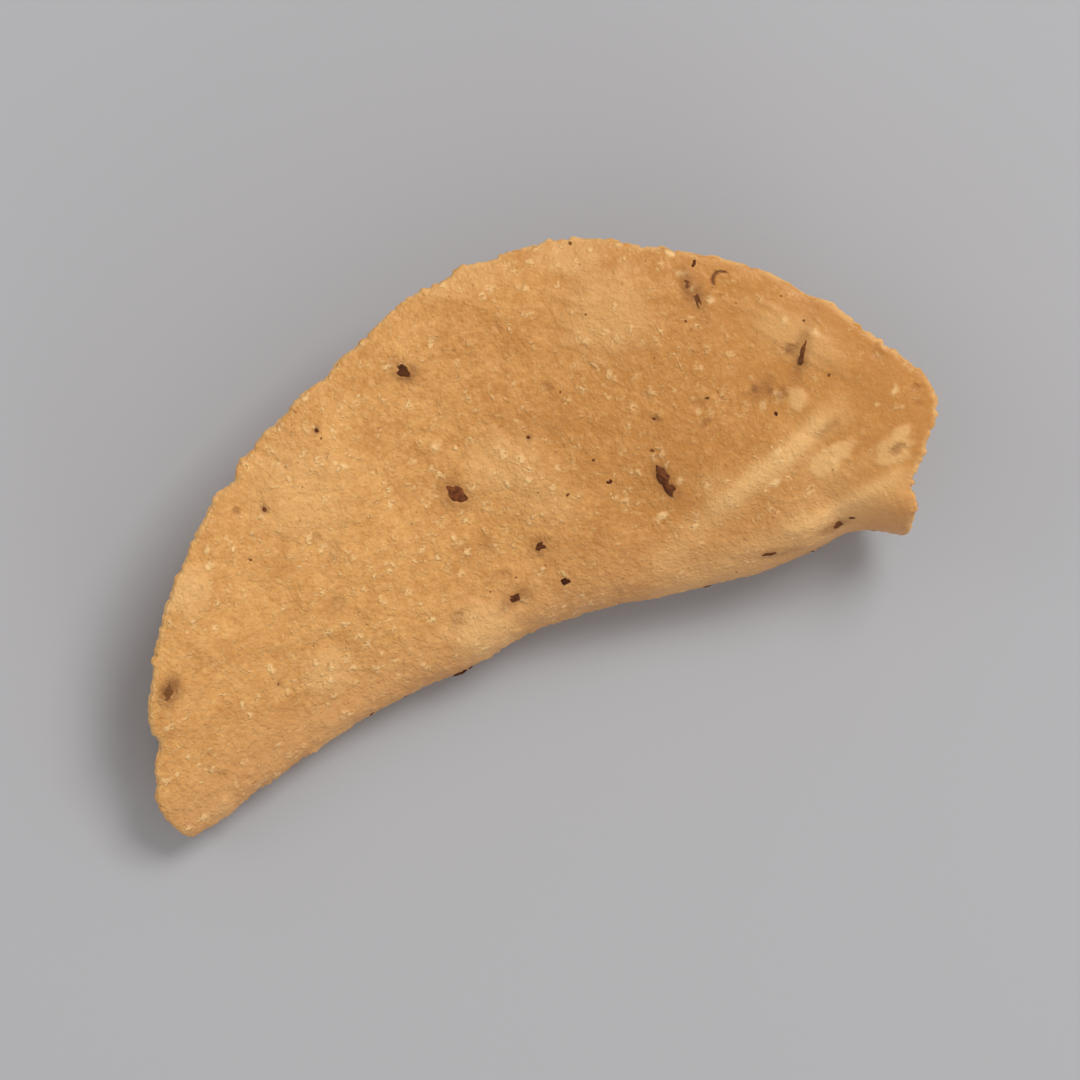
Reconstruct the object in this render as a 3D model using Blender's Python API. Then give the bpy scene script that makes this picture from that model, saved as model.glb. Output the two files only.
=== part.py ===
"""Pepper thattai: a thin, crisp fried disc folded over into a half-moon, flecked with cracked pepper.

The disc lies on its lower flap. +X runs along the fold, from the pinched tip to the wide end. +Y points out
of the open mouth and +Z points up. The origin is under the middle of the wafer, on the surface it lies on.
Lengths are in metres.

The wafer is worked out flat first. A flat place is (along, reach): along the fold, and the distance walked
over the wafer from the fold's outermost line, positive up the upper flap and negative under the lower one.
"""

import math

import bmesh
import bpy
import numpy as np
from mathutils import Matrix, Vector
from mathutils.geometry import delaunay_2d_cdt

MM = 0.001

# Size of the folded wafer
FOLD_LENGTH = 85.0 * MM
THICKNESS = 1.9 * MM
RIM_THICKNESS = 1.0 * MM
RIM_TAPER = 4.0 * MM

# The fold is a cone: a tight crease at the tip and a wide bend at the other end
TIP_BEND_RADIUS = 1.75 * MM
WIDE_BEND_RADIUS = 7.8 * MM
BEND_GROWTH = 1.2
TIP_SLOPE = math.radians(35.0)
WIDE_SLOPE = math.radians(14.0)
DOME_RADIUS = 105.0 * MM
BELLY_SLOPE = math.radians(4.4)
BELLY_RADIUS = 135.0 * MM

# The fold's outer edge, seen from above: hollowed near the tip, bowed out, then flared at the wide end
TIP_INSET_LENGTH = 5.0 * MM
HOLLOW_START = 5.0 * MM
HOLLOW_LENGTH = 26.0 * MM
HOLLOW_DEPTH = 0.8 * MM
BOW_START = 36.0 * MM
BOW_LENGTH = 34.0 * MM
BOW_DEPTH = 7.6 * MM
FLARE_START = 70.5 * MM
FLARE_LENGTH = 12.0 * MM
FLARE_DEPTH = 8.5 * MM

# Upper rim seen from above, in mm along the fold and out from it, from the wide end round to the tip
UPPER_RIM = (
    (75.9, -11.3), (78.7, -7.0), (81.4, -4.3), (84.7, -1.6), (85.2, 1.6), (82.6, 8.0),
    (80.4, 13.6), (76.4, 19.2), (70.2, 24.7), (61.4, 31.3), (48.0, 34.1), (36.0, 32.0),
    (23.0, 28.5), (11.0, 21.3), (3.4, 12.8), (1.4, 7.8), (-0.9, 4.6), (-1.0, 1.4), (0.2, -0.4),
)
RIM_CURVE_STEPS = 12
# The lower rim is half an ellipse on the flat wafer, leaning towards the wide end
LOWER_DEPTH = 32.0 * MM
LOWER_LEAN = 5.0 * MM
LOWER_POINTS = 60
# Where the two rims meet, the corner is rounded by averaging neighbours a step apart
ROUNDING_STEP = 0.5 * MM
ROUNDING_PASSES = 10
# Nicks in the rim: place seen from above in mm, depth and half width in metres
NICKS = (
    ((79.1, -6.2), 0.9 * MM, 1.2 * MM),
    ((79.6, 14.6), 0.7 * MM, 1.5 * MM),
    ((40.4, 33.4), 0.4 * MM, 1.2 * MM),
    ((21.6, 27.6), 0.5 * MM, 1.2 * MM),
    ((2.1, 8.6), 0.7 * MM, 1.1 * MM),
)
RIM_RAG = 0.42 * MM
RIM_RAG_CELL = 3.1 * MM

# The sheet sways in and out of its ideal form, on both faces alike, and less on its belly
SWAY = ((15.0 * MM, 0.55 * MM), (6.5 * MM, 0.17 * MM))
BELLY_SWAY = 0.35
BELLY_START = 12.0 * MM
HILL_TABLE = 64
HILL_GAIN = 1.5
# Soft creases fanning along the bend: two places seen from above in mm, height and width
CREASES = (
    ((57.7, 0.2), (76.4, 3.2), 0.38 * MM, 1.5 * MM),
    ((66.5, -2.6), (80.0, -2.2), 0.32 * MM, 1.2 * MM),
    ((50.5, -2.6), (77.5, -6.2), 0.34 * MM, 1.5 * MM),
)
CREASE_END = 0.25
# Blisters seen from above: place in mm, radius and height
BLISTERS = (
    ((73.4, 0.4), 2.9 * MM, 0.45 * MM),
    ((78.6, -2.9), 2.1 * MM, 0.40 * MM),
    ((61.6, 23.0), 5.0 * MM, 0.35 * MM),
    ((27.0, 23.5), 5.5 * MM, 0.30 * MM),
)
BLISTER_SHOULDER = 1.35
STRAY_BLISTERS = 34
STRAY_BLISTER_RADIUS = (1.8 * MM, 3.8 * MM)
STRAY_BLISTER_HEIGHT = (0.20 * MM, 0.42 * MM)

# It rests on a small flat worn on its belly
TIP_LIFT = 1.0 * MM
WIDE_LIFT = 1.4 * MM
REST_MIDDLE = 42.0 * MM
REST_SINK = 0.60 * MM

# Pepper that shows from above: place in mm, length, width and height of the piece, turn about its place
PEPPER_ABOVE = (
    ((39.9, 15.4), 2.9 * MM, 2.3 * MM, 1.5 * MM, -0.2),
    ((41.7, 28.4), 1.8 * MM, 1.5 * MM, 1.0 * MM, 0.5),
    ((58.5, 7.2), 1.8 * MM, 1.3 * MM, 1.0 * MM, 1.9),
    ((58.3, 5.0), 1.6 * MM, 1.3 * MM, 1.0 * MM, 2.2),
    ((44.6, 7.0), 1.5 * MM, 1.3 * MM, 0.9 * MM, 0.3),
    ((39.8, 4.0), 1.7 * MM, 1.1 * MM, 0.9 * MM, 0.1),
    ((76.2, 9.7), 2.4 * MM, 1.1 * MM, 0.9 * MM, 0.9),
    ((70.1, 20.8), 3.0 * MM, 2.0 * MM, 1.5 * MM, 1.2),
    ((5.6, 13.2), 2.2 * MM, 1.8 * MM, 1.0 * MM, 0.9),
    ((70.4, -5.6), 1.7 * MM, 1.1 * MM, 0.9 * MM, 0.4),
)
# Pepper elsewhere, spread by a seeded rule: inside both flaps, and low on the bend clear of the table
STRAY_PEPPER_INSIDE = 13
STRAY_PEPPER_ON_BEND = 3
STRAY_PEPPER_LENGTH = (1.5 * MM, 2.6 * MM)
STRAY_PEPPER_WIDTH = 0.75
STRAY_PEPPER_RISE = 0.55
STRAY_PEPPER_GAP = 7.0 * MM
STRAY_PEPPER_RIM = 4.5 * MM
STRAY_PEPPER_FOLD = 8.0 * MM
STRAY_PEPPER_HEIGHT = 4.2 * MM
PEPPER_SUNK = 0.22
PEPPER_RAGGED = 0.16

# Fineness of the mesh
GRID_STEP = 1.9 * MM
RIM_STEP = 1.35 * MM
RIM_CLEARANCE = 0.62
FOLD_ROWS = 4.2 * MM
FOLD_ROWS_WIDTH = 3.4 * MM
STRETCH_TABLE = 4001
SAME_PLACE = 1e-4
NORMAL_STEP = 0.02 * MM
WELD_DISTANCE = 0.01 * MM
SHARP_ANGLE = math.radians(50.0)

# Colour and roughness
DOUGH = ((0.60, 0.31, 0.11), 0.55)
PEPPER = ((0.045, 0.028, 0.022), 0.6)

SEED = 41


def eased(value):
    """A smooth rise from 0 to 1 as the value goes from 0 to 1."""
    value = np.clip(value, 0.0, 1.0)
    return value * value * (3.0 - 2.0 * value)


def share_along(along):
    """How far along the fold a place is, from 0 at the tip to 1 at the wide end."""
    return np.clip(along / FOLD_LENGTH, 0.0, 1.0)


def fold_edge(along):
    """How far out the middle of the sheet lies along the fold's outermost line, seen from above."""
    inset = THICKNESS / 2 * eased(along / TIP_INSET_LENGTH)
    hollow = HOLLOW_DEPTH * np.sin(math.pi * np.clip((along - HOLLOW_START) / HOLLOW_LENGTH, 0.0, 1.0))
    bow = BOW_DEPTH * eased((along - BOW_START) / BOW_LENGTH)
    flare = FLARE_DEPTH * eased((along - FLARE_START) / FLARE_LENGTH)
    return inset + hollow - bow - flare


def bend_radius(along):
    """Radius of the fold's bend."""
    return TIP_BEND_RADIUS + (WIDE_BEND_RADIUS - TIP_BEND_RADIUS) * share_along(along) ** BEND_GROWTH


def upper_slope(along):
    """Slope of the upper flap where it leaves the bend."""
    return TIP_SLOPE + (WIDE_SLOPE - TIP_SLOPE) * share_along(along)


def rest_lift(along):
    """How far the belly stands off the table, which it touches along its middle only."""
    tip = np.clip((REST_MIDDLE - along) / REST_MIDDLE, 0.0, None)
    wide = np.clip((along - REST_MIDDLE) / (FOLD_LENGTH - REST_MIDDLE), 0.0, None)
    return TIP_LIFT * tip**2 + WIDE_LIFT * wide**2


def folded(along, reach):
    """The folded place, in space, of a flat place: a bend between a domed flap and a bellied one."""
    radius = bend_radius(along)
    slope = upper_slope(along)
    up = np.clip(reach, 0.0, None)
    turn = np.minimum(up / radius, math.pi / 2 - slope)
    flap = np.clip(up - radius * (math.pi / 2 - slope), 0.0, None) / DOME_RADIUS
    out_up = radius * (1 - np.cos(turn)) + DOME_RADIUS * (np.sin(slope) - np.sin(slope - flap))
    rise = radius * np.sin(turn) + DOME_RADIUS * (np.cos(slope - flap) - np.cos(slope))

    down = np.clip(-reach, 0.0, None)
    most_turn = math.pi / 2 - BELLY_SLOPE
    turn = np.minimum(down / radius, most_turn)
    flap = np.clip(down - radius * most_turn, 0.0, None) / BELLY_RADIUS
    out_down = radius * (1 - np.cos(turn))
    out_down += BELLY_RADIUS * (math.sin(BELLY_SLOPE) + np.sin(flap - BELLY_SLOPE))
    fall = radius * np.sin(turn) + BELLY_RADIUS * (np.cos(BELLY_SLOPE - flap) - math.cos(BELLY_SLOPE))

    lowest = radius * math.cos(BELLY_SLOPE) + BELLY_RADIUS * (1 - math.cos(BELLY_SLOPE))
    out = fold_edge(along) + np.where(reach >= 0, out_up, out_down)
    height = lowest + THICKNESS / 2 + rest_lift(along) + np.where(reach >= 0, rise, -fall)
    return np.stack(np.broadcast_arrays(along, out, height), axis=-1)


def reach_seen_from_above(along, out):
    """The reach of a place on the upper flap that lies out there when seen from above."""
    radius = bend_radius(along)
    slope = upper_slope(along)
    out = np.clip(out - fold_edge(along), 0.0, None)
    bend_out = radius * (1 - np.sin(slope))
    on_bend = radius * np.arccos(1 - np.minimum(out, bend_out) / radius)
    on_flap = slope - np.arcsin(np.sin(slope) - np.clip(out - bend_out, 0.0, None) / DOME_RADIUS)
    return on_bend + DOME_RADIUS * on_flap


def flat_place(seen_mm):
    """The flat place of one point of the upper flap that is given as seen from above, in mm."""
    along = seen_mm[0] * MM
    return np.array([along, float(reach_seen_from_above(along, seen_mm[1] * MM))])


def smooth_through(points, steps):
    """Points of a smooth open curve through the given ones."""
    points = np.asarray(points, float)
    before = np.vstack([2 * points[:1] - points[1:2], points[:-2]])
    after = np.vstack([points[2:], 2 * points[-1:] - points[-2:-1]])
    start, end = points[:-1], points[1:]
    curve = []
    for step in range(steps):
        t = step / steps
        curve.append(0.5 * (2 * start + (end - before) * t
                            + (2 * before - 5 * start + 4 * end - after) * t**2
                            + (3 * start - before - 3 * end + after) * t**3))
    curve = np.stack(curve, axis=1).reshape(-1, 2)
    return np.vstack([curve, points[-1:]])


def evenly_spaced(loop, step):
    """The same closed loop with its points a step apart, and each point's distance along it."""
    closed = np.vstack([loop, loop[:1]])
    distance = np.concatenate([[0.0], np.cumsum(np.linalg.norm(np.diff(closed, axis=0), axis=1))])
    count = int(round(distance[-1] / step))
    at = np.arange(count) * distance[-1] / count
    even = np.stack([np.interp(at, distance, closed[:, 0]), np.interp(at, distance, closed[:, 1])], axis=1)
    return even, at


def outward_of(loop):
    """Unit vectors pointing out of a closed loop that runs anticlockwise."""
    ahead = np.roll(loop, -1, axis=0) - np.roll(loop, 1, axis=0)
    outward = np.stack([ahead[:, 1], -ahead[:, 0]], axis=1)
    return outward / np.linalg.norm(outward, axis=1, keepdims=True)


def hills(x, y, cell, seed):
    """Smooth seeded hills and hollows between about -1 and 1, a cell across."""
    angles = np.random.default_rng(seed).uniform(0.0, 2 * math.pi, (HILL_TABLE, HILL_TABLE))
    u, v = x / cell, y / cell
    i, j = np.floor(u).astype(int), np.floor(v).astype(int)
    u, v = u - i, v - j

    def corner(di, dj):
        angle = angles[(i + di) % HILL_TABLE, (j + dj) % HILL_TABLE]
        return np.cos(angle) * (u - di) + np.sin(angle) * (v - dj)

    low = corner(0, 0) + (corner(1, 0) - corner(0, 0)) * eased(u)
    high = corner(0, 1) + (corner(1, 1) - corner(0, 1)) * eased(u)
    return HILL_GAIN * (low + (high - low) * eased(v))


def flat_rim(step):
    """The rim on the flat wafer, anticlockwise, with its rags and nicks."""
    seen = smooth_through(UPPER_RIM, RIM_CURVE_STEPS) * MM
    upper = np.stack([seen[:, 0], reach_seen_from_above(seen[:, 0], seen[:, 1])], axis=1)
    upper[0, 1] = 0.0
    upper[-1, 1] = 0.0
    middle = (upper[0, 0] + upper[-1, 0]) / 2
    half = (upper[0, 0] - upper[-1, 0]) / 2
    angle = np.linspace(math.pi, 2 * math.pi, LOWER_POINTS)[1:-1]
    lean = LOWER_LEAN * np.sin(angle) ** 2
    lower = np.stack([middle + half * np.cos(angle) + lean, LOWER_DEPTH * np.sin(angle)], axis=1)
    loop, _ = evenly_spaced(np.vstack([upper, lower]), ROUNDING_STEP)
    for _ in range(ROUNDING_PASSES):
        loop = (np.roll(loop, 1, axis=0) + 2 * loop + np.roll(loop, -1, axis=0)) / 4
    loop, distance = evenly_spaced(loop, step)
    push = RIM_RAG * hills(distance, 0 * distance, RIM_RAG_CELL, SEED)
    for seen_mm, depth, width in NICKS:
        away = np.linalg.norm(loop - flat_place(seen_mm), axis=1)
        push -= depth * np.exp(-((away / width) ** 2))
    return loop + outward_of(loop) * push[:, None]


def inside_distance(points, loop):
    """Each point's distance from the loop, positive inside it."""
    start, end = loop, np.roll(loop, -1, axis=0)
    nearest = np.full(len(points), np.inf)
    crossings = np.zeros(len(points), int)
    for (x0, y0), (x1, y1) in zip(start, end):
        edge = np.array([x1 - x0, y1 - y0])
        offset = points - (x0, y0)
        t = np.clip(offset @ edge / (edge @ edge), 0.0, 1.0)
        nearest = np.minimum(nearest, np.linalg.norm(offset - t[:, None] * edge, axis=1))
        if y0 != y1:
            across = (points[:, 1] < y0) != (points[:, 1] < y1)
            crossings += across & (offset[:, 0] < offset[:, 1] * edge[0] / edge[1])
    return np.where(crossings % 2 == 1, nearest, -nearest)


def spread_from_fold(reach):
    """The reach stretched near the fold, so that even rows there lie closer on the wafer."""
    return reach + FOLD_ROWS * np.tanh(reach / FOLD_ROWS_WIDTH)


def flat_triangles(rim, step):
    """Even triangles over the flat wafer: its places, rim first, and the triangles' corners."""
    table = np.linspace(-1.0, 1.0, STRETCH_TABLE) * FOLD_LENGTH
    stretched_rim = np.stack([rim[:, 0], spread_from_fold(rim[:, 1])], axis=1)
    low, high = stretched_rim.min(axis=0), stretched_rim.max(axis=0)
    rows = np.arange(low[1], high[1], step * math.sqrt(3) / 2)
    places = []
    for number, row in enumerate(rows):
        along = np.arange(low[0] + (number % 2) * step / 2, high[0], step)
        places.append(np.stack([along, np.full(len(along), row)], axis=1))
    places = np.vstack(places)
    places = places[inside_distance(places, stretched_rim) > RIM_CLEARANCE * step]
    every = np.vstack([stretched_rim, places]) / MM
    count = len(rim)
    edges = [(i, (i + 1) % count) for i in range(count)]
    points, _, faces, _, _, _ = delaunay_2d_cdt([Vector(p) for p in every], edges, [], 0, SAME_PLACE, False)
    points = np.array([tuple(p) for p in points]) * MM
    faces = np.array(faces)
    faces = faces[inside_distance(points[faces].mean(axis=1), points[:count]) > 0]
    points[:, 1] = np.interp(points[:, 1], spread_from_fold(table), table)
    return points, [tuple(int(corner) for corner in face) for face in faces]


def outer_creases(flat):
    """Height of the soft creases on the outer face."""
    height = np.zeros(len(flat))
    for start, end, rise, width in CREASES:
        start, end = flat_place(start), flat_place(end)
        run = end - start
        t = np.clip((flat - start) @ run / (run @ run), 0.0, 1.0)
        away = np.linalg.norm(flat - start - t[:, None] * run, axis=1)
        fading = CREASE_END + (1 - CREASE_END) * np.sin(math.pi * t) ** 0.5
        height += rise * np.exp(-((away / width) ** 2)) * fading
    return height


def blister_height(flat, blisters):
    """Height of the blisters, each a low round dome."""
    height = np.zeros(len(flat))
    for place, radius, rise in blisters:
        away = np.linalg.norm(flat - place, axis=1) / radius
        height = np.maximum(height, rise * eased(BLISTER_SHOULDER - away))
    return height


def stray_blisters(rim, seed):
    """Seeded blisters over one whole face."""
    draw = np.random.default_rng(seed)
    low, high = rim.min(axis=0), rim.max(axis=0)
    blisters = []
    for _ in range(STRAY_BLISTERS):
        place = draw.uniform(low, high)
        radius = draw.uniform(*STRAY_BLISTER_RADIUS)
        blisters.append((place, radius, draw.uniform(*STRAY_BLISTER_HEIGHT)))
    return blisters


def sheet_normal(flat):
    """Outward unit normals of the folded sheet."""
    along, reach = flat[:, 0], flat[:, 1]
    with_along = folded(along + NORMAL_STEP, reach) - folded(along - NORMAL_STEP, reach)
    with_reach = folded(along, reach + NORMAL_STEP) - folded(along, reach - NORMAL_STEP)
    normal = np.cross(with_along, with_reach)
    return normal / np.linalg.norm(normal, axis=1, keepdims=True)


def wafer_faces(flat, rim):
    """The outer and inner face of the wafer at flat places, and the outward normals."""
    sway = np.zeros(len(flat))
    for number, (cell, height) in enumerate(SWAY):
        sway += height * hills(flat[:, 0], flat[:, 1], cell, SEED + 1 + number)
    sway *= 1 - (1 - BELLY_SWAY) * eased(-flat[:, 1] / BELLY_START)
    seen_blisters = [(flat_place(seen), radius, rise) for seen, radius, rise in BLISTERS]
    outer_relief = outer_creases(flat)
    outer_relief += blister_height(flat, seen_blisters + stray_blisters(rim, SEED + 10))
    inner_relief = blister_height(flat, stray_blisters(rim, SEED + 20))
    edge = eased(np.abs(inside_distance(flat, rim)) / RIM_TAPER) ** 0.5
    half = (RIM_THICKNESS + (THICKNESS - RIM_THICKNESS) * edge) / 2
    normal = sheet_normal(flat)
    middle = folded(flat[:, 0], flat[:, 1]) + normal * sway[:, None]
    outer = middle + normal * (half + outer_relief * edge)[:, None]
    inner = middle - normal * (half + inner_relief * edge)[:, None]
    return outer, inner, normal


def on_table(outer, inner):
    """Both faces lowered onto the table, with the belly worn flat where it touches."""
    drop = outer[:, 2].min() + REST_SINK
    outer = outer - (0, 0, drop)
    inner = inner - (0, 0, drop)
    outer[:, 2] = np.maximum(outer[:, 2], 0.0)
    return outer, inner, drop


def plain_material(name, colour, roughness):
    """A material with one colour and roughness."""
    material = bpy.data.materials.new(name)
    material.use_nodes = True
    shader = material.node_tree.nodes["Principled BSDF"]
    shader.inputs["Base Color"].default_value = (*colour, 1.0)
    shader.inputs["Roughness"].default_value = roughness
    shader.inputs["Metallic"].default_value = 0.0
    material.diffuse_color = (*colour, 1.0)
    return material


def add_object(name, points, faces, material, collection):
    """A mesh object of the given points and faces."""
    mesh = bpy.data.meshes.new(name)
    mesh.from_pydata([tuple(point) for point in points], [], faces)
    mesh.materials.append(material)
    mesh.validate()
    item = bpy.data.objects.new(name, mesh)
    collection.objects.link(item)
    return item


def build_wafer(rim, material):
    """The closed wafer: outer face, inner face and the rim wall between them."""
    flat, triangles = flat_triangles(rim, GRID_STEP)
    outer, inner, _ = wafer_faces(flat, rim)
    outer, inner, drop = on_table(outer, inner)
    count = len(flat)
    faces = list(triangles)
    faces += [tuple(count + corner for corner in reversed(face)) for face in triangles]
    for i in range(len(rim)):
        j = (i + 1) % len(rim)
        faces.append((j, i, count + i))
        faces.append((j, count + i, count + j))
    wafer = add_object("thattai", np.vstack([outer, inner]), faces, material, bpy.context.scene.collection)
    return wafer, drop


def add_pepper(name, place, normal, size, turn, seed, material, collection):
    """One crushed piece of pepper, partly sunk in the wafer at a place in space."""
    bits = bmesh.new()
    bmesh.ops.create_icosphere(bits, subdivisions=1, radius=1.0)
    draw = np.random.default_rng(seed)
    upright = Vector(normal).to_track_quat("Z", "X").to_matrix().to_4x4()
    frame = Matrix.Translation(Vector(place)) @ upright @ Matrix.Rotation(turn, 4, "Z")
    for vertex in bits.verts:
        jitter = Vector(draw.uniform(-PEPPER_RAGGED, PEPPER_RAGGED, 3))
        unit = vertex.co + jitter
        vertex.co = frame @ Vector((unit.x * size[0] / 2, unit.y * size[1] / 2, unit.z * size[2] / 2))
    mesh = bpy.data.meshes.new(name)
    bits.to_mesh(mesh)
    bits.free()
    mesh.materials.append(material)
    collection.objects.link(bpy.data.objects.new(name, mesh))


def stray_pepper_places(rim):
    """Seeded flat places for the pepper not seen from above, each with its face: 1 outer, -1 inner."""
    draw = np.random.default_rng(SEED + 30)
    low, high = rim.min(axis=0), rim.max(axis=0)
    chosen = []
    while len(chosen) < STRAY_PEPPER_INSIDE + STRAY_PEPPER_ON_BEND:
        side = -1 if len(chosen) < STRAY_PEPPER_INSIDE else 1
        place = draw.uniform(low, high)
        if side < 0:
            fits = abs(place[1]) > STRAY_PEPPER_FOLD
        else:
            fits = place[1] < 0 and folded(*place)[2] > STRAY_PEPPER_HEIGHT
        crowded = any(np.linalg.norm(place - other) < STRAY_PEPPER_GAP for other, _ in chosen)
        if fits and not crowded and inside_distance(place[None], rim)[0] > STRAY_PEPPER_RIM:
            chosen.append((place, side))
    return chosen


def build_pepper(rim, drop, material, collection):
    """Every piece of pepper large enough to show from a step away."""
    pieces = []
    for seen, length, width, height, turn in PEPPER_ABOVE:
        pieces.append((flat_place(seen), 1, (length, width, height), turn))
    draw = np.random.default_rng(SEED + 40)
    for place, side in stray_pepper_places(rim):
        length = draw.uniform(*STRAY_PEPPER_LENGTH)
        size = (length, STRAY_PEPPER_WIDTH * length, STRAY_PEPPER_RISE * length)
        pieces.append((place, side, size, draw.uniform(0.0, math.pi)))
    flat = np.array([place for place, _, _, _ in pieces])
    outer, inner, normal = wafer_faces(flat, rim)
    for number, (_, side, size, turn) in enumerate(pieces):
        skin = outer[number] if side > 0 else inner[number]
        out = normal[number] * side
        place = skin - (0, 0, drop) - out * PEPPER_SUNK * size[2]
        add_pepper(f"pepper_{number}", place, out, size, turn, SEED + 50 + number, material, collection)


def join_pepper(wafer, collection):
    """The pepper made one solid with the wafer."""
    union = wafer.modifiers.new("pepper", "BOOLEAN")
    union.operation = "UNION"
    union.solver = "EXACT"
    union.operand_type = "COLLECTION"
    union.collection = collection
    union.material_mode = "TRANSFER"
    whole = bpy.data.meshes.new_from_object(wafer.evaluated_get(bpy.context.evaluated_depsgraph_get()))
    wafer.modifiers.clear()
    wafer.data = whole
    for piece in list(collection.objects):
        bpy.data.objects.remove(piece, do_unlink=True)
    bpy.data.collections.remove(collection)


def finish_wafer(wafer):
    """Triangles, smooth shading, and the origin under the middle of the wafer."""
    solid = bmesh.new()
    solid.from_mesh(wafer.data)
    bmesh.ops.remove_doubles(solid, verts=solid.verts, dist=WELD_DISTANCE)
    bmesh.ops.triangulate(solid, faces=solid.faces)
    places = np.array([vertex.co for vertex in solid.verts])
    middle = (places.min(axis=0) + places.max(axis=0)) / 2
    bmesh.ops.translate(solid, verts=solid.verts, vec=(-middle[0], -middle[1], 0.0))
    solid.to_mesh(wafer.data)
    solid.free()
    wafer.data.shade_smooth()
    wafer.data.set_sharp_from_angle(angle=SHARP_ANGLE)


def main():
    """Builds the whole wafer in an empty scene."""
    for item in list(bpy.data.objects):
        bpy.data.objects.remove(item, do_unlink=True)
    dough = plain_material("fried_dough", *DOUGH)
    pepper = plain_material("black_pepper", *PEPPER)
    rim = flat_rim(RIM_STEP)
    wafer, drop = build_wafer(rim, dough)
    bits = bpy.data.collections.new("pepper")
    bpy.context.scene.collection.children.link(bits)
    build_pepper(rim, drop, pepper, bits)
    bpy.context.view_layer.update()
    join_pepper(wafer, bits)
    finish_wafer(wafer)


main()
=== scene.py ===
"""Looks of the pepper thattai: a thin, crisp fried disc folded into a half-moon, with pepper in it.

The wafer is worked out flat first. A flat place is (along, reach): along the fold, and the distance
walked over the wafer from the fold's outermost line, positive up the upper flap and negative under
the lower one. A seen place is given as it is read from above, in millimetres along the fold and out
from it. Every other length is in metres.
"""

from __future__ import annotations

import logging
import math
from dataclasses import dataclass, field
from enum import Enum, IntEnum

import bmesh
import bpy
import numpy as np
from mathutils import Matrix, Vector
from mathutils.geometry import delaunay_2d_cdt


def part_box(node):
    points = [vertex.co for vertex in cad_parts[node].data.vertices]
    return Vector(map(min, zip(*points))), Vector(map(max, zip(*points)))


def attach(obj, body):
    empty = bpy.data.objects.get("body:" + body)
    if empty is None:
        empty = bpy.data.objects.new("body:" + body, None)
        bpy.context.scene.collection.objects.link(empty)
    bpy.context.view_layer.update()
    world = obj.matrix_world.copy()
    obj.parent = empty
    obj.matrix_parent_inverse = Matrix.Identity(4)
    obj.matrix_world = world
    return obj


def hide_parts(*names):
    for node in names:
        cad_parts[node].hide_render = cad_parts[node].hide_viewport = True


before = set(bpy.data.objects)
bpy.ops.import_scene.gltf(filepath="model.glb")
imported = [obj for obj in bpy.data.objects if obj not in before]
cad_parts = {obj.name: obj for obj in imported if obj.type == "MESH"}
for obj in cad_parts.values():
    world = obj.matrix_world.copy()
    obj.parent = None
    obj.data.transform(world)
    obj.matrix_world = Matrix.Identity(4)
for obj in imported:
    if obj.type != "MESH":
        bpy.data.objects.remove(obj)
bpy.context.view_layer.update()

MM = 0.001
NODE = "thattai"
BODY = "root"
LOG = logging.getLogger("thattai")

# Some of these masks carry painted light: shade and sheen over the bend, shade in the browning, a
# highlight along the rim, and glints in the pale flecks.
MASKS = ("grain", "sandy", "brown", "pale", "halo", "bend", "toast_and_shade", "edge", "cream_glint")
SMALL_STEP = 0.02 * MM
HILL_TABLE = 64
HILL_GAIN = 1.5
GRAIN_TABLE = 128
GRAIN_MIDDLE = (0.2, 0.8)
GRAIN_RADIUS = (0.28, 0.55)
GRAIN_RISE = (0.35, 1.0)
HULL_TRIANGLES = 0

SeenPlace = tuple[float, float]
Span = tuple[float, float]
Tone = tuple[int, int, int]
Socket = bpy.types.NodeSocket


class Face(Enum):
    """A face of the folded sheet, with the sign of its outward normal."""

    OUTER = 1
    INNER = -1


class Seed(IntEnum):
    """The seed of each random draw, or the first one of a row of them."""

    RIM = 41
    SWAY = 42
    OUTER_BLISTERS = 51
    INNER_BLISTERS = 61
    STRAY_PEPPER = 71
    STRAY_PEPPER_SIZE = 81
    PEPPER_DUST = 86
    RIM_CRUMBS = 101
    RIM_STEPS = 102
    RIM_WALL = 106
    PITS = 111
    PIT_EDGES = 116
    SMUDGE_EDGES = 117
    BLISTER_EDGES = 118
    SKIN = 121
    GRAIN = 126
    FINE_GRAIN = 127
    RIM_LUMPS = 131
    BROAD_TOAST = 136
    FOLD_LUMPS = 138
    FINE_TOAST = 139
    PEPPER_FORM = 541


def eased(value: np.ndarray) -> np.ndarray:
    """A smooth rise from 0 to 1 as the value goes from 0 to 1."""
    value = np.clip(value, 0.0, 1.0)
    return value * value * (3.0 - 2.0 * value)


def hills(x: np.ndarray, y: np.ndarray, cell: float, seed: int) -> np.ndarray:
    """Smooth seeded hills and hollows.

    Args:
        x: First coordinate of each place.
        y: Second coordinate of each place.
        cell: Distance from one hill to the next.
        seed: Seed of the draw.

    Returns:
        Heights between about -1 and 1.
    """
    angles = np.random.default_rng(seed).uniform(0.0, 2 * math.pi, (HILL_TABLE, HILL_TABLE))
    u, v = x / cell, y / cell
    i, j = np.floor(u).astype(int), np.floor(v).astype(int)
    u, v = u - i, v - j

    def corner(di: int, dj: int) -> np.ndarray:
        """The pull of one corner of each place's cell."""
        angle = angles[(i + di) % HILL_TABLE, (j + dj) % HILL_TABLE]
        return np.cos(angle) * (u - di) + np.sin(angle) * (v - dj)

    low = corner(0, 0) + (corner(1, 0) - corner(0, 0)) * eased(u)
    high = corner(0, 1) + (corner(1, 1) - corner(0, 1)) * eased(u)
    return HILL_GAIN * (low + (high - low) * eased(v))


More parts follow.
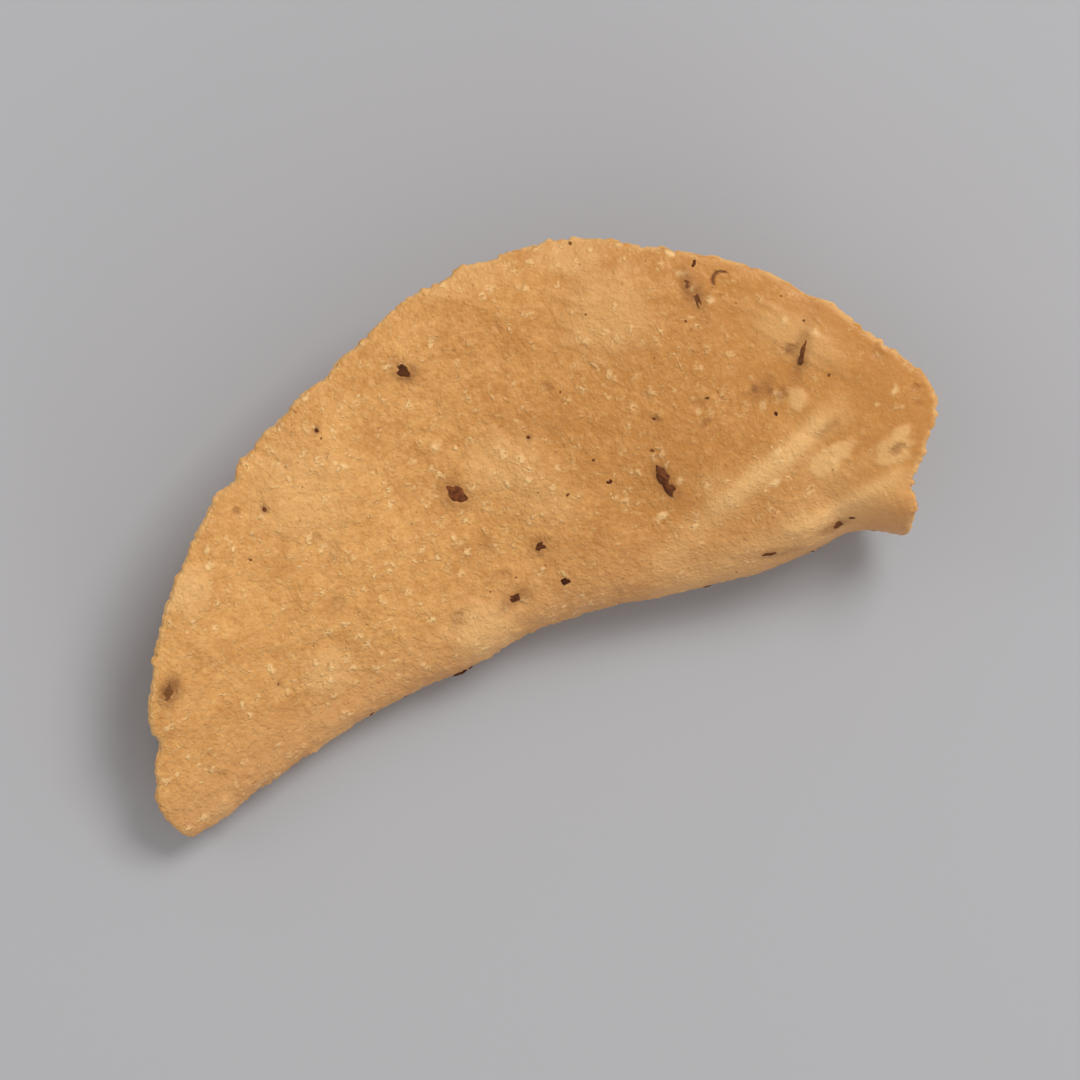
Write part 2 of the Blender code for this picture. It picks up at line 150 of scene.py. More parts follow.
def granules(flat: np.ndarray, cell: float, share: float, seed: int) -> np.ndarray:
    """Small round grains scattered one to a cell.

    Args:
        flat: Flat places, one to a row.
        cell: Width of the cell that holds one grain.
        share: Share of the cells that hold a grain.
        seed: Seed of the draw.

    Returns:
        Height of the grains at each place, from 0 to 1.
    """
    table = (GRAIN_TABLE, GRAIN_TABLE)
    draw = np.random.default_rng(seed)
    middle = draw.uniform(*GRAIN_MIDDLE, (*table, 2))
    radius = draw.uniform(*GRAIN_RADIUS, table)
    rise = draw.uniform(*GRAIN_RISE, table) * (draw.random(table) < share)
    scaled = flat / cell
    home = np.floor(scaled).astype(int)
    height = np.zeros(len(flat))
    for di in (-1, 0, 1):
        for dj in (-1, 0, 1):
            i, j = (home[:, 0] + di) % GRAIN_TABLE, (home[:, 1] + dj) % GRAIN_TABLE
            offset = scaled - home - (di, dj) - middle[i, j]
            away = np.linalg.norm(offset, axis=1) / radius[i, j]
            height = np.maximum(height, rise[i, j] * eased(1.0 - away))
    return height


def bell(away: np.ndarray, width: float) -> np.ndarray:
    """A smooth fall from 1 at no distance towards 0 past a width."""
    return np.exp(-((away / width) ** 2))


def corners_of(places: np.ndarray) -> tuple[np.ndarray, np.ndarray]:
    """The lowest and the highest corner of the box round some places."""
    return places.min(axis=0), places.max(axis=0)


def from_line(
    places: np.ndarray, start: np.ndarray, end: np.ndarray
) -> tuple[np.ndarray, np.ndarray]:
    """How far along a straight line places lie, from 0 to 1, and how far away from it."""
    run = end - start
    offset = places - start
    share = np.clip(offset @ run / (run @ run), 0.0, 1.0)
    return share, np.linalg.norm(offset - share[:, None] * run, axis=1)


@dataclass(frozen=True)
class Fold:
    """The fold: a cone-shaped bend between a domed upper flap and a bellied lower one."""

    length: float = 85.0 * MM
    thickness: float = 1.9 * MM
    tip_bend_radius: float = 1.75 * MM
    wide_bend_radius: float = 7.8 * MM
    bend_growth: float = 1.2
    tip_slope: float = math.radians(35.0)
    wide_slope: float = math.radians(14.0)
    dome_radius: float = 105.0 * MM
    belly_slope: float = math.radians(4.4)
    belly_radius: float = 135.0 * MM
    tip_inset_length: float = 5.0 * MM
    hollow_start: float = 5.0 * MM
    hollow_length: float = 26.0 * MM
    hollow_depth: float = 0.8 * MM
    bow_start: float = 36.0 * MM
    bow_length: float = 34.0 * MM
    bow_depth: float = 7.6 * MM
    flare_start: float = 70.5 * MM
    flare_length: float = 12.0 * MM
    flare_depth: float = 8.5 * MM
    tip_lift: float = 1.0 * MM
    wide_lift: float = 1.4 * MM
    rest_middle: float = 42.0 * MM

    def share_along(self, along: np.ndarray) -> np.ndarray:
        """How far along the fold a place is, from 0 at the tip to 1 at the wide end."""
        return np.clip(along / self.length, 0.0, 1.0)

    def edge(self, along: np.ndarray) -> np.ndarray:
        """How far out the sheet's middle lies along the fold's outermost line, seen from above."""
        inset = self.thickness / 2 * eased(along / self.tip_inset_length)
        hollow_share = np.clip((along - self.hollow_start) / self.hollow_length, 0.0, 1.0)
        hollow = self.hollow_depth * np.sin(math.pi * hollow_share)
        bow = self.bow_depth * eased((along - self.bow_start) / self.bow_length)
        flare = self.flare_depth * eased((along - self.flare_start) / self.flare_length)
        return inset + hollow - bow - flare

    def bend_radius(self, along: np.ndarray) -> np.ndarray:
        """Radius of the bend."""
        growth = self.wide_bend_radius - self.tip_bend_radius
        return self.tip_bend_radius + growth * self.share_along(along) ** self.bend_growth

    def upper_slope(self, along: np.ndarray) -> np.ndarray:
        """Slope of the upper flap where it leaves the bend."""
        return self.tip_slope + (self.wide_slope - self.tip_slope) * self.share_along(along)

    def rest_lift(self, along: np.ndarray) -> np.ndarray:
        """How far the belly stands off the table, which it touches along its middle only."""
        tip = np.clip((self.rest_middle - along) / self.rest_middle, 0.0, None)
        wide = np.clip((along - self.rest_middle) / (self.length - self.rest_middle), 0.0, None)
        return self.tip_lift * tip**2 + self.wide_lift * wide**2

    def folded(self, flat: np.ndarray) -> np.ndarray:
        """The folded places in space.

        Args:
            flat: Flat places, one to a row.

        Returns:
            Points on the middle of the sheet, one to a row.
        """
        along, reach = flat[:, 0], flat[:, 1]
        radius = self.bend_radius(along)
        slope = self.upper_slope(along)
        up = np.clip(reach, 0.0, None)
        turn = np.minimum(up / radius, math.pi / 2 - slope)
        flap = np.clip(up - radius * (math.pi / 2 - slope), 0.0, None) / self.dome_radius
        out_up = radius * (1 - np.cos(turn))
        out_up += self.dome_radius * (np.sin(slope) - np.sin(slope - flap))
        rise = radius * np.sin(turn) + self.dome_radius * (np.cos(slope - flap) - np.cos(slope))

        down = np.clip(-reach, 0.0, None)
        belly = self.belly_slope
        most_turn = math.pi / 2 - belly
        turn = np.minimum(down / radius, most_turn)
        flap = np.clip(down - radius * most_turn, 0.0, None) / self.belly_radius
        out_down = radius * (1 - np.cos(turn))
        out_down += self.belly_radius * (math.sin(belly) + np.sin(flap - belly))
        fall = radius * np.sin(turn) + self.belly_radius * (np.cos(belly - flap) - math.cos(belly))

        lowest = radius * math.cos(belly) + self.belly_radius * (1 - math.cos(belly))
        out = self.edge(along) + np.where(reach >= 0, out_up, out_down)
        stand = lowest + self.thickness / 2 + self.rest_lift(along)
        return np.stack([along, out, stand + np.where(reach >= 0, rise, -fall)], axis=1)

    def reach_seen(self, along: np.ndarray, out: np.ndarray) -> np.ndarray:
        """The reach of places on the upper flap that lie out there when seen from above."""
        radius = self.bend_radius(along)
        slope = self.upper_slope(along)
        out = np.clip(out - self.edge(along), 0.0, None)
        bend_out = radius * (1 - np.sin(slope))
        on_bend = radius * np.arccos(1 - np.minimum(out, bend_out) / radius)
        rest = np.clip(out - bend_out, 0.0, None) / self.dome_radius
        return on_bend + self.dome_radius * (slope - np.arcsin(np.sin(slope) - rest))

    def flat_place(self, seen: SeenPlace) -> np.ndarray:
        """The flat place of one seen place on the upper flap."""
        along = seen[0] * MM
        return np.array([along, float(self.reach_seen(along, seen[1] * MM))])

    def normals(self, flat: np.ndarray) -> np.ndarray:
        """Outward unit normals of the folded sheet at flat places."""
        with_along, with_reach = (
            self.folded(flat + step) - self.folded(flat - step)
            for step in ((SMALL_STEP, 0.0), (0.0, SMALL_STEP))
        )
        normal = np.cross(with_along, with_reach)
        return normal / np.linalg.norm(normal, axis=1, keepdims=True)

    def axes(self, place: np.ndarray, face: Face, turn: float) -> np.ndarray:
        """The axes of a piece that lies on the sheet.

        Args:
            place: Its flat place.
            face: The face that it lies on.
            turn: The angle from the fold's direction to its length.

        Returns:
            The directions of its length, its width and its height, one to a column.
        """
        away = face.value * self.normals(place[None])[0]
        aside = np.cross(away, (1.0, 0.0, 0.0))
        aside /= np.linalg.norm(aside)
        ahead = np.cross(aside, away)
        length = ahead * math.cos(turn) + aside * math.sin(turn)
        return np.stack([length, np.cross(away, length), away], axis=1)


@dataclass(frozen=True)
class Nick:
    """A nick in the rim."""

    seen: SeenPlace
    depth: float
    half_width: float


def smooth_through(points: np.ndarray, steps: int) -> np.ndarray:
    """Points of a smooth open curve.

    Args:
        points: The points that the curve passes through.
        steps: Points made for each stretch between two given ones.

    Returns:
        The curve's points, one to a row.
    """
    before = np.vstack([2 * points[:1] - points[1:2], points[:-2]])
    after = np.vstack([points[2:], 2 * points[-1:] - points[-2:-1]])
    start, end = points[:-1], points[1:]
    curve = []
    for step in range(steps):
        t = step / steps
        curve.append(0.5 * (2 * start + (end - before) * t
                            + (2 * before - 5 * start + 4 * end - after) * t**2
                            + (3 * start - before - 3 * end + after) * t**3))
    return np.vstack([np.stack(curve, axis=1).reshape(-1, 2), points[-1:]])


def evenly_spaced(loop: np.ndarray, step: float) -> tuple[np.ndarray, np.ndarray]:
    """The same closed loop with its points a step apart.

    Args:
        loop: Points of the loop.
        step: Distance between the new points.

    Returns:
        The new points, and each one's distance along the loop.
    """
    closed = np.vstack([loop, loop[:1]])
    distance = np.concatenate([[0.0], np.cumsum(np.linalg.norm(np.diff(closed, axis=0), axis=1))])
    count = int(round(distance[-1] / step))
    at = np.arange(count) * distance[-1] / count
    even = np.stack([np.interp(at, distance, closed[:, axis]) for axis in (0, 1)], axis=1)
    return even, at


def outward_of(loop: np.ndarray) -> np.ndarray:
    """Unit vectors pointing out of a closed loop that runs anticlockwise."""
    ahead = np.roll(loop, -1, axis=0) - np.roll(loop, 1, axis=0)
    outward = np.stack([ahead[:, 1], -ahead[:, 0]], axis=1)
    return outward / np.linalg.norm(outward, axis=1, keepdims=True)


def oval_distance(
    places: np.ndarray, middle: np.ndarray, length: float, width: float, turn: float
) -> np.ndarray:
    """How far places lie from the middle of an oval, 1 being its outline.

    Args:
        places: Places, one to a row.
        middle: Its middle.
        length: Half its length.
        width: Half its width.
        turn: The angle from the first direction to its length.

    Returns:
        Each place's distance.
    """
    offset = places - middle
    along = offset[:, 0] * math.cos(turn) + offset[:, 1] * math.sin(turn)
    across = offset[:, 1] * math.cos(turn) - offset[:, 0] * math.sin(turn)
    return np.hypot(along / length, across / width)


def inside_distance(points: np.ndarray, loop: np.ndarray) -> np.ndarray:
    """Each point's distance from a closed loop, positive inside it."""
    nearest = np.full(len(points), np.inf)
    crossings = np.zeros(len(points), int)
    for (x0, y0), (x1, y1) in zip(loop, np.roll(loop, -1, axis=0)):
        edge = np.array([x1 - x0, y1 - y0])
        offset = points - (x0, y0)
        t = np.clip(offset @ edge / (edge @ edge), 0.0, 1.0)
        nearest = np.minimum(nearest, np.linalg.norm(offset - t[:, None] * edge, axis=1))
        if y0 != y1:
            across = (points[:, 1] < y0) != (points[:, 1] < y1)
            crossings += across & (offset[:, 0] < offset[:, 1] * edge[0] / edge[1])
    return np.where(crossings % 2 == 1, nearest, -nearest)


@dataclass(frozen=True)
class Rim:
    """The disc's ragged rim, worked out on the flat wafer."""

    fold: Fold
    upper: tuple[SeenPlace, ...] = (
        (75.9, -11.3), (78.7, -7.0), (81.4, -4.3), (84.7, -1.6), (85.2, 1.6), (82.6, 8.0),
        (80.4, 13.6), (76.4, 19.2), (70.2, 24.7), (61.4, 31.3), (48.0, 34.1), (36.0, 32.0),
        (23.0, 28.5), (11.0, 21.3), (3.4, 12.8), (1.4, 7.8), (-0.9, 4.6), (-1.0, 1.4), (0.2, -0.4),
    )
    curve_steps: int = 12
    lower_depth: float = 32.0 * MM
    lower_lean: float = 5.0 * MM
    lower_points: int = 60
    rounding_step: float = 0.5 * MM
    rounding_passes: int = 10
    nicks: tuple[Nick, ...] = (
        Nick((79.1, -6.2), 0.35 * MM, 1.0 * MM),
        Nick((79.6, 14.6), 0.7 * MM, 1.5 * MM),
        Nick((40.4, 33.4), 0.4 * MM, 1.2 * MM),
        Nick((21.6, 27.6), 0.5 * MM, 1.2 * MM),
        Nick((2.1, 8.6), 0.7 * MM, 1.1 * MM),
    )
    rag: float = 0.34 * MM
    rag_cell: float = 3.1 * MM
    fine_rag: float = 0.20 * MM
    fine_rag_cell: float = 0.6 * MM
    stretch_length: Span = (0.6 * MM, 4.5 * MM)
    step_push: float = 0.24 * MM
    step_width: float = 0.2 * MM
    fold_calm: float = 8.0 * MM
    fold_share: float = 0.15
    solid_step: float = 1.35 * MM

    def broken_steps(self, distance: np.ndarray) -> np.ndarray:
        """The snapped edge: straight stretches of uneven length that meet at small jumps.

        Args:
            distance: Distance of each place along the rim.

        Returns:
            How far each place is pushed out.
        """
        draw = np.random.default_rng(Seed.RIM_STEPS)
        short, long = self.stretch_length
        at, push = [0.0], [0.0]
        while at[-1] < distance[-1]:
            start, end = draw.uniform(-self.step_push, self.step_push, 2)
            jump = at[-1] + self.step_width
            at += [jump, jump + short + (long - short) * draw.random() ** 2]
            push += [start, (start + end) / 2]
        ends = np.minimum(distance, distance[-1] - distance) / long
        return np.interp(distance, at, push) * eased(ends)

    def loop(self, step: float, fine: bool = True) -> np.ndarray:
        """The rim on the flat wafer, anticlockwise.

        Args:
            step: Distance between its points.
            fine: Whether it has its fine crumbs as well as its coarse rags.

        Returns:
            Flat places, one to a row.
        """
        seen = smooth_through(np.array(self.upper), self.curve_steps) * MM
        upper = np.stack([seen[:, 0], self.fold.reach_seen(seen[:, 0], seen[:, 1])], axis=1)
        upper[(0, -1), 1] = 0.0
        middle = (upper[0, 0] + upper[-1, 0]) / 2
        half = (upper[0, 0] - upper[-1, 0]) / 2
        angle = np.linspace(math.pi, 2 * math.pi, self.lower_points)[1:-1]
        along = middle + half * np.cos(angle) + self.lower_lean * np.sin(angle) ** 2
        lower = np.stack([along, self.lower_depth * np.sin(angle)], axis=1)
        loop, _ = evenly_spaced(np.vstack([upper, lower]), self.rounding_step)
        for _ in range(self.rounding_passes):
            loop = (np.roll(loop, 1, axis=0) + 2 * loop + np.roll(loop, -1, axis=0)) / 4
        loop, distance = evenly_spaced(loop, step)
        push = self.rag * hills(distance, 0 * distance, self.rag_cell, Seed.RIM)
        if fine:
            crumbs = hills(distance, 0 * distance, self.fine_rag_cell, Seed.RIM_CRUMBS)
            from_fold = eased(np.abs(loop[:, 1]) / self.fold_calm)
            calm = self.fold_share + (1 - self.fold_share) * from_fold
            push = (push + self.fine_rag * crumbs + self.broken_steps(distance)) * calm
        for nick in self.nicks:
            away = np.linalg.norm(loop - self.fold.flat_place(nick.seen), axis=1)
            push -= nick.depth * bell(away, nick.half_width)
        return loop + outward_of(loop) * push[:, None]

    def coarse(self) -> np.ndarray:
        """The rim with its coarse rags alone, as the solid has it."""
        return self.loop(self.solid_step, fine=False)


@dataclass(frozen=True)
class Crease:
    """A soft crease of the outer face, between two seen places."""

    start: SeenPlace
    end: SeenPlace
    height: float
    width: float


@dataclass(frozen=True)
class Blister:
    """A low blister of a face, round or drawn out, and paler than the dough round it.

    Its place and its form are those seen from above, or those on the flat wafer.
    """

    place: np.ndarray
    radius: float
    height: float
    pale: float
    stretch: float = 1.0
    turn: float = 0.0
    fade: float = 1.0
    seen: bool = False
    ragged: float = 0.3
    ragged_cell: float = 1.3 * MM
    beyond: float = 0.35

    def cover(self, flat: np.ndarray, seen: np.ndarray) -> np.ndarray:
        """How much of it covers each place, from 1 over its middle to 0 past its edge."""
        places = seen if self.seen else flat
        length = self.stretch * self.radius
        away = oval_distance(places, self.place, length, self.radius, self.turn)
        away *= 1 + self.ragged * hills(*flat.T, self.ragged_cell, Seed.BLISTER_EDGES)
        return eased((1.0 + self.beyond * self.fade - away) / self.fade)


@dataclass(frozen=True)
class Smudge:
    """A soft stain of the outer face, or a pale fleck of it that is partly a pale crumb and partly
    a painted glint.
    """

    seen: SeenPlace
    length: float
    width: float
    turn: float = 0.0
    strength: float = 1.0


@dataclass(frozen=True)
class Pit:
    """A burst pinhole of the outer face, round or drawn out, with a brown floor."""

    seen: SeenPlace
    radius: float
    depth: float
    brown: float = 0.6
    stretch: float = 1.0
    turn: float = 0.0


@dataclass(frozen=True)
class Groove:
    """A narrow crack of the outer face, along a short path of seen places."""

    path: tuple[SeenPlace, ...]
    depth: float
    width: float
    span: float
    brown: float = 0.8

    @property
    def middle(self) -> SeenPlace:
        """The middle of its path."""
        along, out = zip(*self.path)
        return (sum(along) / len(along), sum(out) / len(out))


@dataclass(frozen=True)
class Relief:
    """Everything that stands out of the sheet or sinks into it."""

    fold: Fold
    rim: Rim
    sway: tuple[tuple[float, float], ...] = ((15.0 * MM, 0.55 * MM), (6.5 * MM, 0.17 * MM))
    belly_sway: float = 0.35
    belly_start: float = 12.0 * MM
    rim_thickness: float = 1.0 * MM
    rim_taper: float = 4.0 * MM
    rim_round: float = 0.35 * MM
    rim_corner: float = 0.75
    rest_sink: float = 0.60 * MM
    creases: tuple[Crease, ...] = (
        Crease((54.0, -0.5), (76.4, 3.2), 0.16 * MM, 1.5 * MM),
        Crease((66.5, -2.6), (80.0, -2.2), 0.08 * MM, 1.0 * MM),
        Crease((52.5, -3.0), (77.5, -6.2), 0.16 * MM, 1.5 * MM),
        Crease((61.2, 1.8), (68.8, 2.2), 0.20 * MM, 1.0 * MM),
        Crease((68.8, 2.2), (74.3, 3.3), 0.24 * MM, 1.0 * MM),
        Crease((66.6, -3.9), (78.6, -5.1), 0.20 * MM, 0.7 * MM),
    )
    crease_end: float = 0.7
    crease_swell: float = 0.3
    crease_pale: float = 0.30 * MM
    seen_limit: float = -2.0 * MM
    out_of_sight: float = -1.0
    # Browning along the fold; part of its rise is painted shade that darkens the wide end.
    toast_and_shade_along: tuple[float, float, float] = (-0.1, 0.7, 0.4)
    toast_clouds: tuple[tuple[float, float, Seed], ...] = (
        (21.0 * MM, 0.20, Seed.BROAD_TOAST),
        (5.0 * MM, 0.15, Seed.FINE_TOAST),
    )
    # Painted shade: patches that darken the dough, most of them near the fold.
    painted_shade_patches: tuple[tuple[SeenPlace, float, float], ...] = (
        ((69.0, 15.0), 15.0 * MM, 0.28),
        ((8.0, 5.0), 14.0 * MM, 0.22),
        ((32.0, 4.0), 14.0 * MM, 0.17),
        ((57.0, 2.0), 11.0 * MM, 0.24),
    )
    stray_blisters: int = 34
    stray_blister_radius: Span = (1.8 * MM, 3.8 * MM)
    stray_blister_height: Span = (0.20 * MM, 0.42 * MM)
    stray_blister_pale: float = 0.8
    skin: tuple[tuple[float, float], ...] = (
        (3.3 * MM, 0.17 * MM), (1.6 * MM, 0.10 * MM), (0.85 * MM, 0.055 * MM),
    )
    grain_cell: float = 1.0 * MM
    grain_height: float = 0.15 * MM
    grain_share: float = 0.65
    fine_grain_shift: float = 0.37
    fine_grain_size: float = 0.6
    fine_grain_rise: float = 0.7
    face_seeds: int = 10
    pits: tuple[Pit, ...] = (
        Pit((83.9, 1.3), 0.36 * MM, 0.20 * MM, 0.2),
        Pit((83.3, -0.2), 0.30 * MM, 0.16 * MM, 0.15),
        Pit((23.0, 23.7), 0.42 * MM, 0.20 * MM, 0.4),
        Pit((31.3, 27.7), 0.36 * MM, 0.18 * MM, 0.35),
        Pit((20.5, 24.9), 0.36 * MM, 0.18 * MM, 0.35),
        Pit((48.9, 16.5), 0.36 * MM, 0.16 * MM, 0.3),
        Pit((60.5, 11.9), 0.36 * MM, 0.16 * MM, 0.3),
        Pit((64.5, 9.0), 0.36 * MM, 0.16 * MM, 0.3),
        Pit((33.8, 5.2), 0.60 * MM, 0.12 * MM, 0.3),
        Pit((79.2, -3.05), 0.46 * MM, 0.26 * MM, 0.05, 1.8, 0.1),
        Pit((53.0, 19.9), 0.45 * MM, 0.12 * MM, 0.25),
        Pit((24.5, 12.3), 0.70 * MM, 0.10 * MM, 0.08),
        Pit((26.7, 16.9), 0.60 * MM, 0.10 * MM, 0.08),
    )
    stray_pits: int = 26
    stray_pit_radius: Span = (0.32 * MM, 0.60 * MM)
    stray_pit_depth: float = 0.35
    stray_pit_brown: Span = (0.08, 0.24)
    pit_reach: float = 1.5
    pit_brown_reach: float = 1.6
    pit_ragged: float = 0.5
    pit_ragged_cell: float = 0.55 * MM
    grooves: tuple[Groove, ...] = (
        Groove(
            ((72.1, 20.1), (72.2, 20.5), (72.6, 20.8), (73.1, 20.9), (73.7, 20.5)),
            0.28 * MM, 0.13 * MM, 1.6 * MM, 0.9,
        ),
        Groove(((72.9, 2.0), (74.0, 2.5), (75.3, 2.6)), 0.12 * MM, 0.30 * MM, 1.8 * MM, 0.1),
    )
    stains: tuple[Smudge, ...] = (
        Smudge((75.6, 10.8), 0.75 * MM, 0.5 * MM, -0.2, 1.0),
        Smudge((70.4, 9.4), 0.45 * MM, 0.32 * MM, 1.3, 1.0),
        Smudge((71.5, 8.4), 0.40 * MM, 0.25 * MM, 0.4, 0.9),
        Smudge((71.2, 8.8), 1.6 * MM, 1.1 * MM, 0.3, 0.5),
        Smudge((72.6, 7.5), 0.8 * MM, 0.5 * MM, 0.7, 0.6),
        Smudge((75.0, 2.4), 1.3 * MM, 0.32 * MM, 0.19, 0.35),
        Smudge((79.15, -3.0), 0.85 * MM, 0.42 * MM, 0.1, 0.75),
        Smudge((41.9, 27.9), 1.2 * MM, 0.9 * MM, 0.4, 0.7),
        Smudge((44.1, 7.2), 0.8 * MM, 0.5 * MM, 0.2, 0.6),
        Smudge((26.7, 16.9), 1.6 * MM, 0.7 * MM, 0.7, 0.2),
        Smudge((24.5, 12.3), 1.7 * MM, 0.8 * MM, 0.2, 0.2),
        Smudge((39.8, 9.4), 1.1 * MM, 0.8 * MM, 0.9, 0.3),
        Smudge((50.2, 4.6), 1.0 * MM, 0.8 * MM, 0.4, 0.3),
        Smudge((6.0, 13.0), 1.2 * MM, 0.8 * MM, 0.5, 0.55),
        Smudge((70.1, 20.3), 1.5 * MM, 1.0 * MM, 1.3, 0.6),
    )
    # Pale flecks, partly pale crumbs and partly painted glints: highlights on grains and beside the
    # pepper.
    cream_glints: tuple[Smudge, ...] = (
        Smudge((56.4, 3.3), 0.70 * MM, 0.28 * MM, -0.12, 0.8),
        Smudge((67.6, 0.6), 0.66 * MM, 0.28 * MM, -0.15, 0.8),
        Smudge((59.6, 5.4), 0.34 * MM, 0.28 * MM, 0.3, 0.6),
        Smudge((69.9, 24.9), 0.48 * MM, 0.24 * MM, -1.05, 0.8),
        Smudge((71.0, 18.8), 0.30 * MM, 0.24 * MM, 0.3, 0.8),
        Smudge((70.05, 20.8), 0.34 * MM, 0.22 * MM, 0.9, 0.9),
        Smudge((69.9, 22.6), 0.50 * MM, 0.26 * MM, -0.6, 0.7),
        Smudge((79.9, 1.8), 0.28 * MM, 0.20 * MM, 0.0, 0.6),
        Smudge((81.9, 0.4), 0.26 * MM, 0.18 * MM, 0.0, 0.5),
        Smudge((82.1, 2.1), 0.36 * MM, 0.26 * MM, 0.5, 0.6),
        Smudge((78.4, 11.0), 0.28 * MM, 0.22 * MM, 0.9, 0.6),
        Smudge((76.3, 13.4), 0.28 * MM, 0.22 * MM, 0.4, 0.6),
        Smudge((69.4, 3.1), 0.40 * MM, 0.28 * MM, 0.3, 0.5),
        Smudge((70.3, 7.6), 0.38 * MM, 0.30 * MM, 1.1, 0.6),
        Smudge((72.0, 8.0), 0.32 * MM, 0.26 * MM, 0.4, 0.6),
        Smudge((64.6, 10.3), 0.30 * MM, 0.24 * MM, 0.6, 0.6),
    )
    smudge_ragged: float = 0.5
    smudge_reach: float = 1.5
    cream_glint_height: float = 0.10 * MM
    lip_height: float = 0.06 * MM
    lip_width: float = 0.30 * MM
    stain_width: float = 0.55 * MM
    bare_stain: float = 0.5
    bit_calm: float = 0.4 * MM
    rim_calm: float = 0.6 * MM
    rim_skin: float = 0.35
    bend_loss: float = 0.2
    bend_loss_reach: float = 1.3
    bend_loss_band: float = 7.0 * MM
    losses_along: tuple[tuple[float, float, float], ...] = (
        (0.3, 34.0 * MM, 26.0 * MM),
        (0.65, 62.0 * MM, 14.0 * MM),
    )
    crumb_cell: float = 0.65 * MM
    crumb_height: float = 0.05 * MM
    crumb_share: float = 0.6
    crumb_band: float = 0.8 * MM
    fold_crumb_cell: float = 0.70 * MM
    fold_crumb_height: float = 0.28 * MM
    fold_crumb_reach: float = 0.3 * MM
    fold_crumb_band: float = 1.1 * MM
    fold_crumb_loss: float = 0.5

    def sheet_sway(self, flat: np.ndarray) -> np.ndarray:
        """How far the whole sheet sways out of its ideal form."""
        sway = np.zeros(len(flat))
        for number, (cell, height) in enumerate(self.sway):
            sway += height * hills(*flat.T, cell, Seed.SWAY + number)
        return sway * (1 - (1 - self.belly_sway) * eased(-flat[:, 1] / self.belly_start))

    def seen_places(self, flat: np.ndarray) -> np.ndarray:
        """Where flat places of the upper flap are seen from above; all others lie out of sight."""
        seen = self.fold.folded(flat)[:, :2]
        return np.where((flat[:, 1] > self.seen_limit)[:, None], seen, self.out_of_sight)

    def crease_height(self, flat: np.ndarray) -> np.ndarray:
        """Height of the soft creases."""
        height = np.zeros(len(flat))
        seen = self.seen_places(flat)
        for crease in self.creases:
            ends = np.array(crease.start) * MM, np.array(crease.end) * MM
            share, away = from_line(seen, *ends)
            swell = self.crease_end + self.crease_swell * np.sin(math.pi * share) ** 0.5
            height += crease.height * bell(away, crease.width) * swell
        return height

    def seen_blisters(self) -> list[Blister]:
        """The blisters that show from above, each at its own place."""
        rows = (
            ((73.4, -0.2), 1.25, 0.20, 1.0, 2.2, 0.05, 0.45),
            ((79.0, -2.8), 1.45, 0.22, 0.8, 1.4, 0.05, 0.45),
            ((80.4, -1.9), 0.7, 0.20, 0.9, 1.8, 0.3, 0.5),
            ((73.7, 6.35), 1.05, 0.16, 0.8, 1.3, 1.1, 0.5),
            ((61.6, 23.0), 5.0, 0.35, 0.5, 1.0, 0.0, 1.0),
            ((27.0, 23.5), 5.5, 0.30, 0.4, 1.0, 0.0, 1.0),
        )
        return [
            Blister(
                np.array(place) * MM, radius * MM, height * MM, pale, stretch, turn, fade, seen=True
            )
            for place, radius, height, pale, stretch, turn, fade in rows
        ]

    def blister_list(self, face: Face) -> list[Blister]:
        """The blisters of a face: the seen ones and the seeded ones."""
        found = self.seen_blisters() if face is Face.OUTER else []
        seed = Seed.OUTER_BLISTERS if face is Face.OUTER else Seed.INNER_BLISTERS
        draw = np.random.default_rng(seed)
        low, high = corners_of(self.rim.coarse())
        for _ in range(self.stray_blisters):
            place = draw.uniform(low, high)
            radius = draw.uniform(*self.stray_blister_radius)
            rise = draw.uniform(*self.stray_blister_height)
            pale = self.stray_blister_pale * rise / self.stray_blister_height[1]
            found.append(Blister(place, radius, rise, pale))
        return found

    def blister_height(self, flat: np.ndarray, face: Face) -> np.ndarray:
        """Height of a face's blisters, each a low dome."""
        seen = self.seen_places(flat)
        covers = [blister.height * blister.cover(flat, seen) for blister in self.blister_list(face)]
        return np.max(covers, axis=0)

    def smudge_cover(self, flat: np.ndarray, smudges: tuple[Smudge, ...]) -> np.ndarray:
        """How strongly the smudges of one kind cover each flat place of the outer face."""
        ragged = 1 + self.smudge_ragged * hills(*flat.T, self.pit_ragged_cell, Seed.SMUDGE_EDGES)
        cover = np.zeros(len(flat))
        seen = self.seen_places(flat)
        for smudge in smudges:
            middle = np.array(smudge.seen) * MM
            away = oval_distance(seen, middle, smudge.length, smudge.width, smudge.turn)
            cover = np.maximum(cover, smudge.strength * eased(self.smudge_reach - ragged * away))
        return cover

    def stray_pit_list(self, face: Face) -> list[tuple[np.ndarray, float, float]]:
        """The seeded pits of a face: each one's flat place, radius and brownness."""
        draw = np.random.default_rng(Seed.PITS + face.value)
        low, high = corners_of(self.rim.coarse())
        return [
            (
                draw.uniform(low, high),
                draw.uniform(*self.stray_pit_radius),
                draw.uniform(*self.stray_pit_brown),
            )
            for _ in range(self.stray_pits)
        ]

